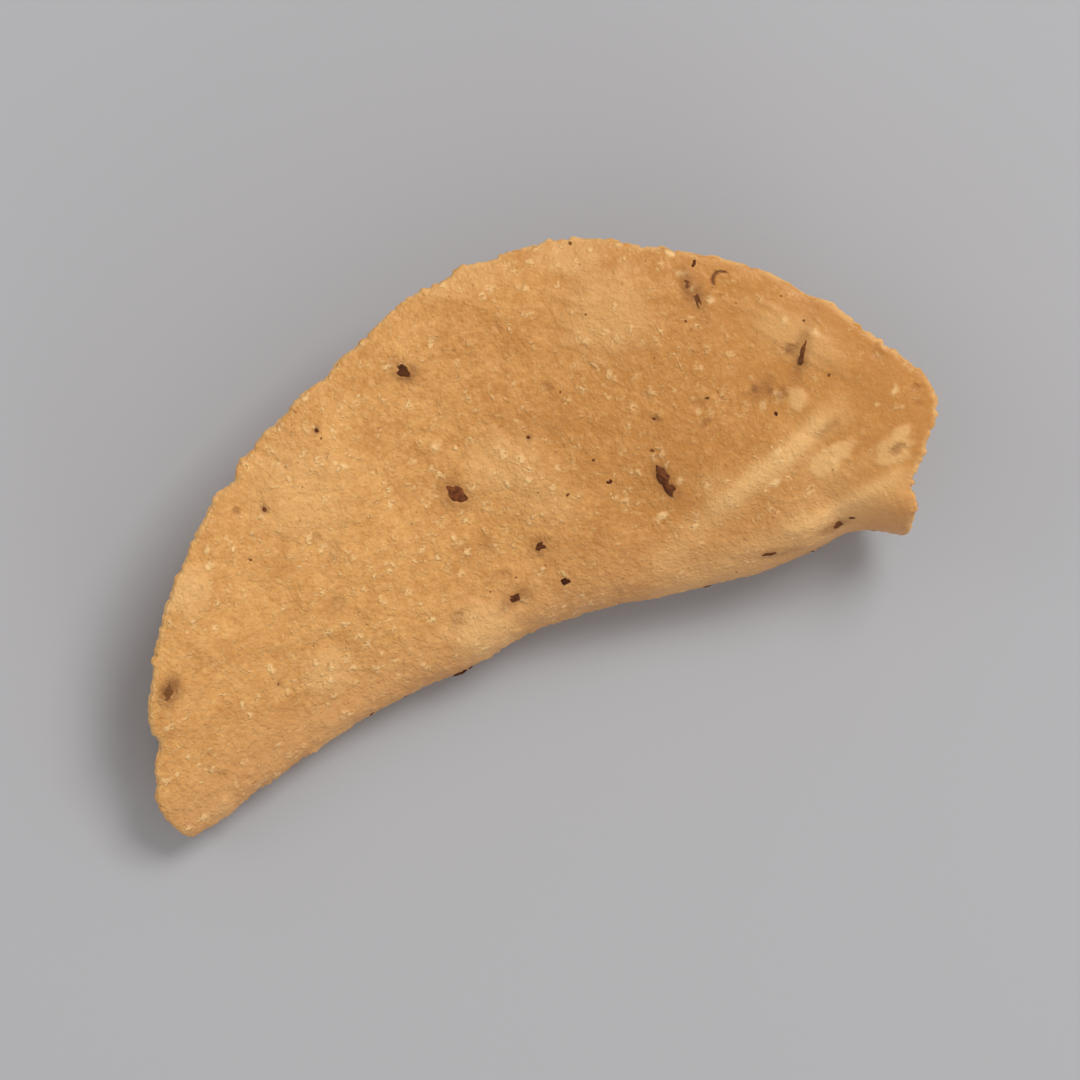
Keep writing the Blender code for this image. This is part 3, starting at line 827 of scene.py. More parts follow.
    def pit_depth(self, flat: np.ndarray, face: Face) -> tuple[np.ndarray, np.ndarray]:
        """Depth of a face's pits, and how brown each place of them is."""
        depth, brown = np.zeros(len(flat)), np.zeros(len(flat))
        ragged = 1 + self.pit_ragged * hills(*flat.T, self.pit_ragged_cell, Seed.PIT_EDGES)
        for place, radius, tone in self.stray_pit_list(face):
            away = ragged * np.linalg.norm(flat - place, axis=1) / radius
            deepest = self.stray_pit_depth * radius
            depth = np.maximum(depth, deepest * eased(self.pit_reach - away))
            brown = np.maximum(brown, tone * eased(self.pit_brown_reach - away))
        seen = self.seen_places(flat)
        for pit in self.pits if face is Face.OUTER else ():
            middle, length = np.array(pit.seen) * MM, pit.stretch * pit.radius
            away = ragged * oval_distance(seen, middle, length, pit.radius, pit.turn)
            depth = np.maximum(depth, pit.depth * eased(self.pit_reach - away))
            brown = np.maximum(brown, pit.brown * eased(self.pit_brown_reach - away))
        return depth, brown

    def groove_depth(self, flat: np.ndarray, face: Face) -> tuple[np.ndarray, np.ndarray]:
        """Depth of the cracks, and how brown each place of them is."""
        depth, brown = np.zeros(len(flat)), np.zeros(len(flat))
        for groove in self.grooves if face is Face.OUTER else ():
            path = [self.fold.flat_place(seen) for seen in groove.path]
            away = np.full(len(flat), np.inf)
            for start, end in zip(path[:-1], path[1:]):
                away = np.minimum(away, from_line(flat, start, end)[1])
            sink = bell(away, groove.width)
            depth = np.maximum(depth, groove.depth * sink)
            brown = np.maximum(brown, groove.brown * sink)
        return depth, brown

    def rim_crumb(self, flat: np.ndarray, edge_distance: np.ndarray, face: Face) -> np.ndarray:
        """Height of the small lumps along the rim."""
        lumps = granules(flat, self.crumb_cell, self.crumb_share, Seed.RIM_LUMPS + face.value)
        return self.crumb_height * lumps * bell(edge_distance, self.crumb_band)

    def fold_crumb(self, flat: np.ndarray) -> np.ndarray:
        """How strongly crumbs cover the outer face along the fold's outermost line, from 0 to 1."""
        lumps = granules(flat, self.fold_crumb_cell, self.crumb_share, Seed.FOLD_LUMPS)
        less = 1 - self.fold_crumb_loss * self.fold.share_along(flat[:, 0])
        return lumps * less * bell(flat[:, 1] - self.fold_crumb_reach, self.fold_crumb_band)

    def calm(self, flat: np.ndarray) -> np.ndarray:
        """How grainy the skin is, from less on the bend and the wide end to 1 on the flaps."""
        along, reach = flat[:, 0], flat[:, 1]
        on_bend = eased(self.bend_loss_reach - np.abs(reach) / self.bend_loss_band)
        loss = self.bend_loss * on_bend
        for most, start, length in self.losses_along:
            loss = np.maximum(loss, most * eased((along - start) / length))
        return 1 - loss

    def paleness(self, flat: np.ndarray, face: Face) -> np.ndarray:
        """How much paler the blisters and creases are than the dough round them."""
        seen = self.seen_places(flat)
        blisters = self.blister_list(face)
        pale = np.max([blister.pale * blister.cover(flat, seen) for blister in blisters], axis=0)
        if face is Face.OUTER:
            pale = np.maximum(pale, self.crease_height(flat) / self.crease_pale)
        return np.clip(pale, 0.0, 1.0)

    def toast_and_shade(self, flat: np.ndarray) -> np.ndarray:
        """How far the dough is browned, more towards the wide end; part of it is painted shade."""
        share = self.fold.share_along(flat[:, 0])
        least, rise, growth = self.toast_and_shade_along
        toast_and_shade = share * (rise + growth * share) + least
        for cell, strength, seed in self.toast_clouds:
            toast_and_shade += strength * hills(*flat.T, cell, seed)
        seen = self.seen_places(flat)
        for place, radius, strength in self.painted_shade_patches:
            away = np.linalg.norm(seen - np.array(place) * MM, axis=1)
            toast_and_shade += strength * bell(away, radius)
        return np.clip(toast_and_shade, 0.0, 1.0)

    def skin_height(self, flat: np.ndarray, face: Face) -> tuple[np.ndarray, np.ndarray]:
        """Height of the fine skin of a face, and of its grains alone, from 0 to 1."""
        shift = self.face_seeds * face.value
        height = np.zeros(len(flat))
        for number, (cell, rise) in enumerate(self.skin):
            height += rise * hills(*flat.T, cell, Seed.SKIN + shift + number)
        grain = granules(flat, self.grain_cell, self.grain_share, Seed.GRAIN + shift)
        fine = granules(
            flat + self.fine_grain_shift * self.grain_cell,
            self.fine_grain_size * self.grain_cell,
            self.grain_share,
            Seed.FINE_GRAIN + shift,
        )
        grain = np.maximum(grain, self.fine_grain_rise * fine)
        return height + self.grain_height * grain, grain

    def rim_share(self, edge_distance: np.ndarray) -> np.ndarray:
        """How far the sheet is at its full thickness, from 0 at the rim to 1 past the taper."""
        return eased(edge_distance / self.rim_taper) ** 0.5

    def half_thickness(self, edge_distance: np.ndarray) -> np.ndarray:
        """Half the sheet's thickness, tapering to the rim and rounded there."""
        growth = self.fold.thickness - self.rim_thickness
        half = (self.rim_thickness + growth * self.rim_share(edge_distance)) / 2
        corner = np.clip(1 - edge_distance / self.rim_round, 0.0, 1.0)
        return half * (self.rim_corner + (1 - self.rim_corner) * np.sqrt(1 - corner**2))


@dataclass(frozen=True)
class Patch:
    """A round patch of finer triangles on the flat wafer."""

    place: np.ndarray
    radius: float
    step: float


@dataclass(frozen=True)
class Bit:
    """One crushed piece of pepper, partly sunk in a face of the wafer.

    Its size is its length, width and height. Its tone goes from 0, charred, to 1, the brown of a
    split grain, and its veil says how much of a film of dough dims it.
    """

    place: np.ndarray
    face: Face
    size: tuple[float, float, float]
    turn: float
    tone: float
    sunk: float
    veil: float = 0.0
    fine: bool = False

    @property
    def radius(self) -> float:
        """Radius of the round place that it takes up."""
        return (self.size[0] + self.size[1]) / 4


@dataclass
class Skin:
    """One finished face of the wafer at its flat places, with the masks that colour it."""

    points: np.ndarray
    normal: np.ndarray
    masks: dict[str, np.ndarray]


@dataclass
class Wafer:
    """The folded, fried sheet."""

    fold: Fold
    rim: Rim
    relief: Relief
    bits: list[Bit]
    outer_step: float = 0.34 * MM
    inner_step: float = 0.52 * MM
    patch_step: float = 0.19 * MM
    patch_margin: float = 0.5 * MM
    pit_patch: float = 1.6
    cream_glint_patch: float = 1.4
    groove_step: float = 0.13 * MM
    rim_step: float = 0.22 * MM
    rim_clearance: float = 0.7
    fold_rows: float = 4.2 * MM
    fold_rows_width: float = 3.4 * MM
    stretch_table: int = 4001
    weld_mm: float = 1e-5
    wall_rows: int = 4
    wall_bulge: float = 0.10 * MM
    wall_crumb: float = 0.10 * MM
    wall_crumb_cell: float = 0.9 * MM
    wall_crumb_span: float = 2.0
    # Width of the pale line along the rim: partly pale crust, partly a painted highlight where the
    # thin rim catches the light.
    rim_highlight_line: float = 0.20 * MM
    # Width of the band over the bend that is painted darker and greyer, as painted shade and
    # painted sheen.
    bend_shade_band: float = 7.0 * MM

    def stretched(self, flat: np.ndarray) -> np.ndarray:
        """Flat places with the reach stretched near the fold, where even rows then lie closer."""
        reach = flat[:, 1] + self.fold_rows * np.tanh(flat[:, 1] / self.fold_rows_width)
        return np.stack([flat[:, 0], reach], axis=1)

    def relaxed(self, places: np.ndarray) -> np.ndarray:
        """Flat places of stretched ones."""
        table = np.linspace(-1.0, 1.0, self.stretch_table) * self.fold.length
        even = self.stretched(np.stack([table, table], axis=1))[:, 1]
        return np.stack([places[:, 0], np.interp(places[:, 1], even, table)], axis=1)

    def patches(self, face: Face) -> list[Patch]:
        """Finer patches round the pepper, the cracks, the pits and the pale flecks of a face."""
        found = [
            Patch(bit.place, bit.radius + self.patch_margin, self.patch_step)
            for bit in self.bits
            if bit.face is face and not bit.fine
        ]
        if face is Face.OUTER:
            marks = [
                (groove.middle, groove.span, self.groove_step) for groove in self.relief.grooves
            ]
            for pit in self.relief.pits:
                radius = self.pit_patch * pit.stretch * pit.radius + self.patch_step
                marks.append((pit.seen, radius, self.patch_step))
            for cream_glint in self.relief.cream_glints:
                radius = self.cream_glint_patch * cream_glint.length + self.patch_step
                marks.append((cream_glint.seen, radius, self.patch_step))
            found += [
                Patch(self.fold.flat_place(seen), radius, step) for seen, radius, step in marks
            ]
        return found

    def flat_triangles(self, rim: np.ndarray, face: Face) -> tuple[np.ndarray, np.ndarray]:
        """Triangles over the flat wafer, finer in its patches.

        Args:
            rim: The rim's flat places, anticlockwise.
            face: The face that they are for.

        Returns:
            The flat places, rim first, and the corners of each triangle.
        """
        step = self.outer_step if face is Face.OUTER else self.inner_step
        stretched_rim = self.stretched(rim)
        places = self.relaxed(hexagonal(*corners_of(stretched_rim), step))
        for patch in self.patches(face):
            places = places[np.linalg.norm(places - patch.place, axis=1) > patch.radius]
            finer = hexagonal(patch.place - patch.radius, patch.place + patch.radius, patch.step)
            away = np.linalg.norm(finer - patch.place, axis=1)
            places = np.vstack([places, finer[away < patch.radius - patch.step / 2]])
        inside = inside_distance(self.stretched(places), stretched_rim)
        places = places[inside > self.rim_clearance * self.rim_step]
        every = [Vector(place) for place in np.vstack([stretched_rim, self.stretched(places)]) / MM]
        count = len(rim)
        edges = [(i, (i + 1) % count) for i in range(count)]
        made = delaunay_2d_cdt(every, edges, [], HULL_TRIANGLES, self.weld_mm, False)
        points, faces = np.array([tuple(point) for point in made[0]]) * MM, np.array(made[2])
        on_rim = np.flatnonzero((faces < count).all(axis=1))
        outside = inside_distance(points[faces[on_rim]].mean(axis=1), points[:count]) <= 0
        return self.relaxed(points), np.delete(faces, on_rim[outside], axis=0)

    def coarse_height(self, flat: np.ndarray, face: Face) -> np.ndarray:
        """Height of the blisters and creases of a face."""
        height = self.relief.blister_height(flat, face)
        if face is Face.OUTER:
            height = height + self.relief.crease_height(flat)
        return height

    def skin(self, flat: np.ndarray, rim: np.ndarray, face: Face) -> Skin:
        """One finished face, before it is laid on the table.

        Args:
            flat: Flat places, one to a row.
            rim: The rim's flat places.
            face: The face.

        Returns:
            The face's points, outward normals and masks.
        """
        relief = self.relief
        edge_distance = np.abs(inside_distance(flat, rim))
        near_rim = relief.rim_share(edge_distance)
        coarse = self.coarse_height(flat, face)
        fine, grain = relief.skin_height(flat, face)
        depth, brown = relief.pit_depth(flat, face)
        groove, groove_brown = relief.groove_depth(flat, face)
        lip, halo, near_bit = self.sockets(flat, face)
        crumb = relief.rim_crumb(flat, edge_distance, face)
        calm = relief.calm(flat)
        cream_glint, fold_crumb = np.zeros(len(flat)), np.zeros(len(flat))
        if face is Face.OUTER:
            fold_crumb = relief.fold_crumb(flat)
            # Pale flecks: partly pale crumbs, partly painted glints.
            cream_glint = relief.smudge_cover(flat, relief.cream_glints)
            halo = np.maximum(halo, relief.smudge_cover(flat, relief.stains))
        raised = relief.half_thickness(edge_distance) + coarse * near_rim + crumb + lip - groove
        raised += relief.cream_glint_height * cream_glint + relief.fold_crumb_height * fold_crumb
        rough = (fine * calm - depth) * (1 - near_bit)
        off_rim = eased(edge_distance / relief.rim_calm)
        raised += rough * (relief.rim_skin + (1 - relief.rim_skin) * off_rim)
        normal = self.fold.normals(flat)
        points = self.fold.folded(flat) + normal * relief.sheet_sway(flat)[:, None]
        points = points + face.value * normal * raised[:, None]
        # The bend mask below paints shade and a greyish sheen over the bend.
        bend_shade_reach = self.bend_shade_band + self.fold.bend_radius(flat[:, 0])
        masks = {
            # Grains and the fold's crumbs, painted paler: partly their colour, partly painted
            # highlight on their tops.
            "grain": np.maximum(grain * calm * (1 - near_bit), fold_crumb),
            "sandy": calm,
            "brown": np.maximum(brown, groove_brown),
            "pale": relief.paleness(flat, face),
            "halo": halo,
            "bend": eased(1.0 - np.abs(flat[:, 1]) / bend_shade_reach),
            # This mask carries painted shade as well as browning.
            "toast_and_shade": relief.toast_and_shade(flat),
            # The pale line along the rim: partly pale crust, partly painted highlight.
            "edge": bell(edge_distance, self.rim_highlight_line),
            "cream_glint": cream_glint,
        }
        return Skin(points, face.value * normal, masks)

    def sockets(self, flat: np.ndarray, face: Face) -> tuple[np.ndarray, np.ndarray, np.ndarray]:
        """What the dough does round each piece of pepper.

        Args:
            flat: Flat places, one to a row.
            face: The face.

        Returns:
            Height of the lip round it, strength of the stain, and how far the grain gives way.
        """
        relief = self.relief
        lip, halo, near = np.zeros((3, len(flat)))
        points = self.fold.folded(flat)
        for bit in self.bits:
            if bit.face is not face or bit.fine:
                continue
            length, width, _ = bit.size
            axes = self.fold.axes(bit.place, face, bit.turn)
            offset = (points - self.fold.folded(bit.place[None])) @ axes
            away = np.linalg.norm(offset / (length / 2, width / 2, length), axis=1)
            beyond = (away - 1) * width / 2
            outside = np.clip(beyond, 0.0, None)
            stain = relief.bare_stain + (1 - relief.bare_stain) * bit.veil
            lip = np.maximum(lip, relief.lip_height * bell(beyond, relief.lip_width))
            halo = np.maximum(halo, stain * bell(outside, relief.stain_width))
            near = np.maximum(near, bell(outside, relief.bit_calm))
        return lip, halo, near

    def table_drop(self, flat: np.ndarray) -> float:
        """How far the wafer comes down onto the table, which wears its belly flat."""
        half = self.relief.half_thickness(np.full(len(flat), self.relief.rim_taper))
        raised = half + self.coarse_height(flat, Face.OUTER)
        normal = self.fold.normals(flat)
        middle = self.fold.folded(flat) + normal * self.relief.sheet_sway(flat)[:, None]
        outer = middle + normal * raised[:, None]
        return float(outer[:, 2].min()) + self.relief.rest_sink

    def wall(self, rim: np.ndarray, outer: Skin, inner: Skin) -> list[np.ndarray]:
        """Rows of points across the broken rim, from the outer face to the inner one."""
        count = len(rim)
        reach_out = self.fold.folded(rim + outward_of(rim) * SMALL_STEP) - self.fold.folded(rim)
        reach_out /= np.linalg.norm(reach_out, axis=1, keepdims=True)
        walked = np.arange(count) * self.rim_step
        rows = []
        for number in range(1, self.wall_rows + 1):
            share = number / (self.wall_rows + 1)
            bulge = self.wall_bulge * math.sin(math.pi * share)
            across = np.full(count, share * self.wall_crumb_cell * self.wall_crumb_span)
            crumb = self.wall_crumb * hills(walked, across, self.wall_crumb_cell, Seed.RIM_WALL)
            row = outer.points[:count] * (1 - share) + inner.points[:count] * share
            rows.append(row + reach_out * (bulge + crumb)[:, None])
        return rows

    def wall_faces(self, count: int, first_inner: int, first_wall: int) -> list[np.ndarray]:
        """Triangles across the broken rim.

        Args:
            count: Points round the rim.
            first_inner: Number of the inner face's first point.
            first_wall: Number of the first point between the two faces.

        Returns:
            The corners of the triangles, row by row.
        """
        loops = [np.arange(count)]
        loops += [first_wall + count * row + np.arange(count) for row in range(self.wall_rows)]
        loops.append(first_inner + np.arange(count))
        faces = []
        for upper, lower in zip(loops[:-1], loops[1:]):
            next_upper, next_lower = np.roll(upper, -1), np.roll(lower, -1)
            faces.append(np.stack([next_upper, upper, lower], axis=1))
            faces.append(np.stack([next_upper, lower, next_lower], axis=1))
        return faces

    def build(self, finish: bpy.types.Material) -> tuple[bpy.types.Object, np.ndarray]:
        """The wafer as one closed mesh, dressed in its finish.

        Args:
            finish: The fried dough.

        Returns:
            The wafer, and the shift that took it from its plan to its place in the frame.
        """
        rim = self.rim.loop(self.rim_step)
        count = len(rim)
        flat_out, faces_out = self.flat_triangles(rim, Face.OUTER)
        flat_in, faces_in = self.flat_triangles(rim, Face.INNER)
        outer, inner = self.skin(flat_out, rim, Face.OUTER), self.skin(flat_in, rim, Face.INNER)
        points = np.vstack([outer.points, inner.points, *self.wall(rim, outer, inner)])
        first_inner = len(flat_out)
        first_wall = first_inner + len(flat_in)
        faces_wall = self.wall_faces(count, first_inner, first_wall)
        faces = np.vstack([faces_out, first_inner + faces_in[:, ::-1], *faces_wall])

        low, high = corners_of(points)
        lowest, highest = (np.array(corner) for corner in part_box(NODE))
        shift = (lowest + highest) / 2 - (low + high) / 2
        shift[2] = -self.table_drop(flat_out)
        points = np.clip(points + shift, lowest, highest)

        wafer = mesh_object("wafer", points, faces, finish)
        for name in MASKS:
            # The broken rim's wall takes the whole pale line: pale crust with a painted highlight.
            edge = np.full(count * self.wall_rows, 1.0 if name == "edge" else 0.0)
            add_mask(wafer, name, np.concatenate([outer.masks[name], inner.masks[name], edge]))
        return wafer, shift


@dataclass
class Pepper:
    """The cracked pepper: the pieces that show from a step away, and the fine dust between them.

    A piece's wrinkles, cuts and ring are shares of its size, and so are the stray pieces' forms.
    """

    fold: Fold
    rim: Rim
    ball: int = 4
    fine_ball: int = 2
    ragged: float = 0.10
    wrinkles: int = 6
    wrinkle_fineness: float = 6.0
    squareness: float = 2.6
    cuts: int = 8
    cut_reach: Span = (0.84, 1.08)
    sharp_angle: float = math.radians(38.0)
    ring_reach: float = 0.76
    ring_width: float = 0.30
    ring_tone: float = 0.1
    ring_veil: float = 1.5
    ring_veil_loss: float = 0.9
    shallow: float = 0.3
    fleck_height: float = 0.7
    fleck_turn: float = 0.7
    stray_inside: int = 13
    stray_on_bend: int = 3
    stray_length: Span = (1.1 * MM, 2.3 * MM)
    stray_width: Span = (0.45, 0.85)
    stray_rise: float = 0.5
    stray_tone_step: float = 0.37
    stray_tone_limit: float = 0.8
    stray_gap: float = 7.0 * MM
    stray_rim: float = 4.5 * MM
    stray_fold: float = 8.0 * MM
    stray_height: float = 4.2 * MM
    dust: int = 90
    dust_length: Span = (0.20 * MM, 0.5 * MM)
    dust_width: float = 0.7
    dust_rise: float = 0.5
    dust_tone: Span = (0.5, 1.0)
    dust_veil: float = 0.35
    dust_outside: float = 0.5
    belly_height: float = 1.5 * MM
    bits: list[Bit] = field(default_factory=list)

    def seen_bits(self) -> list[Bit]:
        """The pieces that show from above, each at its own place."""
        rows = (
            ((39.9, 15.4), 3.0, 2.0, 1.5, -1.14, 0.9, 0.37, 0.0),
            ((41.7, 28.4), 1.8, 1.1, 1.0, -0.9, 0.2, 0.36, 0.1),
            ((58.5, 6.9), 2.1, 1.2, 1.0, 1.5, 0.6, 0.38, 0.1),
            ((58.4, 5.6), 2.0, 1.1, 1.0, 1.75, 0.4, 0.38, 0.1),
            ((44.6, 7.0), 1.2, 1.0, 0.9, 0.3, 0.30, 0.36, 0.1),
            ((39.8, 4.0), 1.7, 0.8, 0.9, 0.0, 0.30, 0.36, 0.1),
            ((76.6, 10.2), 2.6, 0.5, 0.7, 0.80, 0.5, 0.38, 0.2),
            ((70.05, 19.9), 1.9, 0.7, 0.8, 1.44, 0.3, 0.40, 0.4),
            ((69.85, 21.4), 1.2, 0.6, 0.7, 1.2, 0.4, 0.40, 0.45),
            ((63.6, -4.8), 1.9, 0.5, 0.6, -0.3, 0.3, 0.40, 0.2),
            ((5.6, 13.2), 2.0, 1.1, 1.0, 0.8, 0.3, 0.40, 0.75),
            ((70.4, -5.6), 1.7, 0.9, 0.9, -0.1, 0.4, 0.38, 0.2),
        )
        return [
            Bit(
                self.fold.flat_place(seen), Face.OUTER, (length * MM, width * MM, height * MM),
                turn, tone, sunk, veil,
            )
            for seen, length, width, height, turn, tone, sunk, veil in rows
        ]

    def flecks(self) -> list[Bit]:
        """The small flecks that show from above, each at its own place."""
        rows = (
            ((45.0, 2.9), 0.9, 0.7, 0.2), ((71.4, 22.7), 0.8, 0.4, 0.5),
            ((21.6, 1.5), 0.8, 0.6, 0.2), ((73.8, -9.8), 0.9, 0.5, 0.2),
            ((72.5, -6.0), 0.7, 0.5, 0.5), ((53.6, 8.8), 0.6, 0.5, 0.3),
            ((25.6, 0.9), 1.1, 0.4, 0.9), ((60.5, 11.9), 0.5, 0.4, 0.8),
            ((48.9, 16.5), 0.5, 0.4, 0.8), ((31.3, 27.7), 0.5, 0.5, 0.7),
            ((23.0, 23.7), 0.6, 0.4, 0.8), ((71.0, 6.2), 0.5, 0.4, 0.6),
        )
        bits = []
        for number, (seen, length, width, tone) in enumerate(rows):
            size = (length * MM, width * MM, self.fleck_height * width * MM)
            place, turn = self.fold.flat_place(seen), self.fleck_turn * number
            bits.append(Bit(place, Face.OUTER, size, turn, tone, self.shallow, fine=True))
        return bits

    def stray_bits(self) -> list[Bit]:
        """The pieces not seen from above, spread inside both flaps and low on the bend."""
        draw = np.random.default_rng(Seed.STRAY_PEPPER)
        rim = self.rim.coarse()
        chosen: list[tuple[np.ndarray, Face]] = []
        while len(chosen) < self.stray_inside + self.stray_on_bend:
            face = Face.INNER if len(chosen) < self.stray_inside else Face.OUTER
            place = draw.uniform(*corners_of(rim))
            if face is Face.INNER:
                fits = abs(place[1]) > self.stray_fold
            else:
                fits = place[1] < 0 and self.fold.folded(place[None])[0, 2] > self.stray_height
            crowded = any(np.linalg.norm(place - other) < self.stray_gap for other, _ in chosen)
            if fits and not crowded and inside_distance(place[None], rim)[0] > self.stray_rim:
                chosen.append((place, face))
        draw = np.random.default_rng(Seed.STRAY_PEPPER_SIZE)
        bits = []
        for number, (place, face) in enumerate(chosen):
            length = draw.uniform(*self.stray_length)
            size = (length, draw.uniform(*self.stray_width) * length, self.stray_rise * length)
            turn = draw.uniform(0.0, math.pi)
            tone = (self.stray_tone_step * number) % self.stray_tone_limit
            bits.append(Bit(place, face, size, turn, tone, self.shallow))
        return bits

    def dust_bits(self) -> list[Bit]:
        """Seeded dust over both faces, clear of the rim and of the table."""
        draw = np.random.default_rng(Seed.PEPPER_DUST)
        rim = self.rim.coarse()
        short, long = self.dust_length
        bits = []
        while len(bits) < self.dust:
            place = draw.uniform(*corners_of(rim))
            length = short + (long - short) * draw.random() ** 2
            size = (length, self.dust_width * length, self.dust_rise * length)
            face = Face.OUTER if draw.random() < self.dust_outside else Face.INNER
            turn, tone = draw.uniform(0.0, math.pi), draw.uniform(*self.dust_tone)
            bit = Bit(place, face, size, turn, tone, self.shallow, self.dust_veil, fine=True)
            low = self.fold.folded(place[None])[0, 2] < self.belly_height
            on_belly = face is Face.OUTER and low
            if not on_belly and inside_distance(place[None], rim)[0] > long:
                bits.append(bit)
        return bits

    def gather(self) -> None:
        """Settles where every piece lies."""
        self.bits = self.seen_bits() + self.flecks() + self.stray_bits() + self.dust_bits()

    def shape(self, bit: Bit, draw: np.random.Generator, ball: np.ndarray) -> np.ndarray:
        """The points of one crushed piece about its own middle.

        Args:
            bit: The piece, whose length and width are those that show at the dough.
            draw: The seeded draw of its cuts and wrinkles.
            ball: The points of the unit ball that it is cut from.

        Returns:
            Its points, one to a row.
        """
        corners = (np.abs(ball) ** self.squareness).sum(axis=1) ** (1 / self.squareness)
        points = ball / corners[:, None]
        for _ in range(self.cuts):
            facing = draw.normal(size=3)
            facing /= np.linalg.norm(facing)
            over = np.clip(points @ facing - draw.uniform(*self.cut_reach), 0.0, None)
            points -= over[:, None] * facing
        wrinkle = np.zeros(len(points))
        for _ in range(self.wrinkles):
            way = draw.normal(scale=self.wrinkle_fineness, size=3)
            wrinkle += np.sin(points @ way + draw.uniform(0.0, 2 * math.pi))
        points *= 1 + self.ragged * wrinkle[:, None] / 2
        shown = (1 - (2 * bit.sunk) ** self.squareness) ** (1 / self.squareness)
        return points * np.array(bit.size) / 2 * (1 / shown, 1 / shown, 1.0)

    def build(
        self, wafer: Wafer, shift: np.ndarray, finish: bpy.types.Material
    ) -> bpy.types.Object:
        """All the pepper as one joined mesh.

        Args:
            wafer: The wafer that it is sunk in.
            shift: From the wafer's plan to its place in the frame.
            finish: The pepper's finish.

        Returns:
            The pepper.
        """
        rim = self.rim.loop(wafer.rim_step)
        ball, fine_ball = unit_ball(self.ball), unit_ball(self.fine_ball)
        points, faces, tones, veils, start = [], [], [], [], 0
        for number, bit in enumerate(self.bits):
            plain, triangles = fine_ball if bit.fine else ball
            draw = np.random.default_rng(Seed.PEPPER_FORM + number)
            skin = wafer.skin(bit.place[None], rim, bit.face)
            middle = skin.points[0] + shift - skin.normal[0] * bit.sunk * bit.size[2]
            turned = self.fold.axes(bit.place, bit.face, bit.turn)
            points.append(self.shape(bit, draw, plain) @ turned.T + middle)
            faces.append(triangles + start)
            from_middle = np.hypot(plain[:, 0], plain[:, 1])
            inner = eased((self.ring_reach - from_middle) / self.ring_width)
            tones.append(bit.tone * (self.ring_tone + (1 - self.ring_tone) * inner))
            veil = bit.veil * (self.ring_veil - self.ring_veil_loss * inner)
            veils.append(np.clip(veil, 0.0, 1.0))
            start += len(plain)
        pepper = mesh_object("pepper", np.vstack(points), np.vstack(faces), finish)
        pepper.data.set_sharp_from_angle(angle=self.sharp_angle)
        add_mask(pepper, "tone", np.concatenate(tones))
        add_mask(pepper, "veil", np.concatenate(veils))
        return pepper


def hexagonal(low: np.ndarray, high: np.ndarray, step: float) -> np.ndarray:
    """Places of a hexagonal grid between two corners."""
    rows = np.arange(low[1], high[1], step * math.sqrt(3) / 2)
    places = []
    for number, row in enumerate(rows):
        along = np.arange(low[0] + (number % 2) * step / 2, high[0], step)
        places.append(np.stack([along, np.full(len(along), row)], axis=1))
    return np.vstack(places)


def unit_ball(subdivisions: int) -> tuple[np.ndarray, np.ndarray]:
    """Points and triangles of a ball of radius 1."""
    ball = bmesh.new()
    bmesh.ops.create_icosphere(ball, subdivisions=subdivisions, radius=1.0)
    points = np.array([tuple(vertex.co) for vertex in ball.verts])
    faces = np.array([[vertex.index for vertex in face.verts] for face in ball.faces])
    ball.free()
    return points, faces


def mesh_object(
    name: str, points: np.ndarray, faces: np.ndarray, material: bpy.types.Material
) -> bpy.types.Object:
    """A smooth mesh object of triangles, in the scene.

    Args:
        name: The piece's name.
        points: Its points, one to a row.
        faces: The corners of each triangle.
        material: Its finish.

    Returns:
        The object.
    """
    mesh = bpy.data.meshes.new(name)
    mesh.vertices.add(len(points))
    mesh.vertices.foreach_set("co", points.astype(np.float32).ravel())
    mesh.loops.add(faces.size)
    mesh.loops.foreach_set("vertex_index", faces.astype(np.int32).ravel())
    mesh.polygons.add(len(faces))
    mesh.polygons.foreach_set("loop_start", np.arange(0, faces.size, 3, dtype=np.int32))
    mesh.update(calc_edges=True)
    mesh.validate()
    mesh.materials.append(material)
    mesh.shade_smooth()
    item = bpy.data.objects.new(name, mesh)
    bpy.context.scene.collection.objects.link(item)
    return item


def add_mask(item: bpy.types.Object, name: str, values: np.ndarray) -> None:
    """Stores one value for each point of a mesh, under a name that its finish reads."""
    layer = item.data.attributes.new(name, "FLOAT", "POINT")
    layer.data.foreach_set("value", values.astype(np.float32))


def linear(tone: Tone) -> tuple[float, float, float, float]:
    """The linear colour of an sRGB tone."""
    shares = [part / 255 for part in tone]
    return (*(s / 12.92 if s <= 0.04045 else ((s + 0.055) / 1.055) ** 2.4 for s in shares), 1.0)


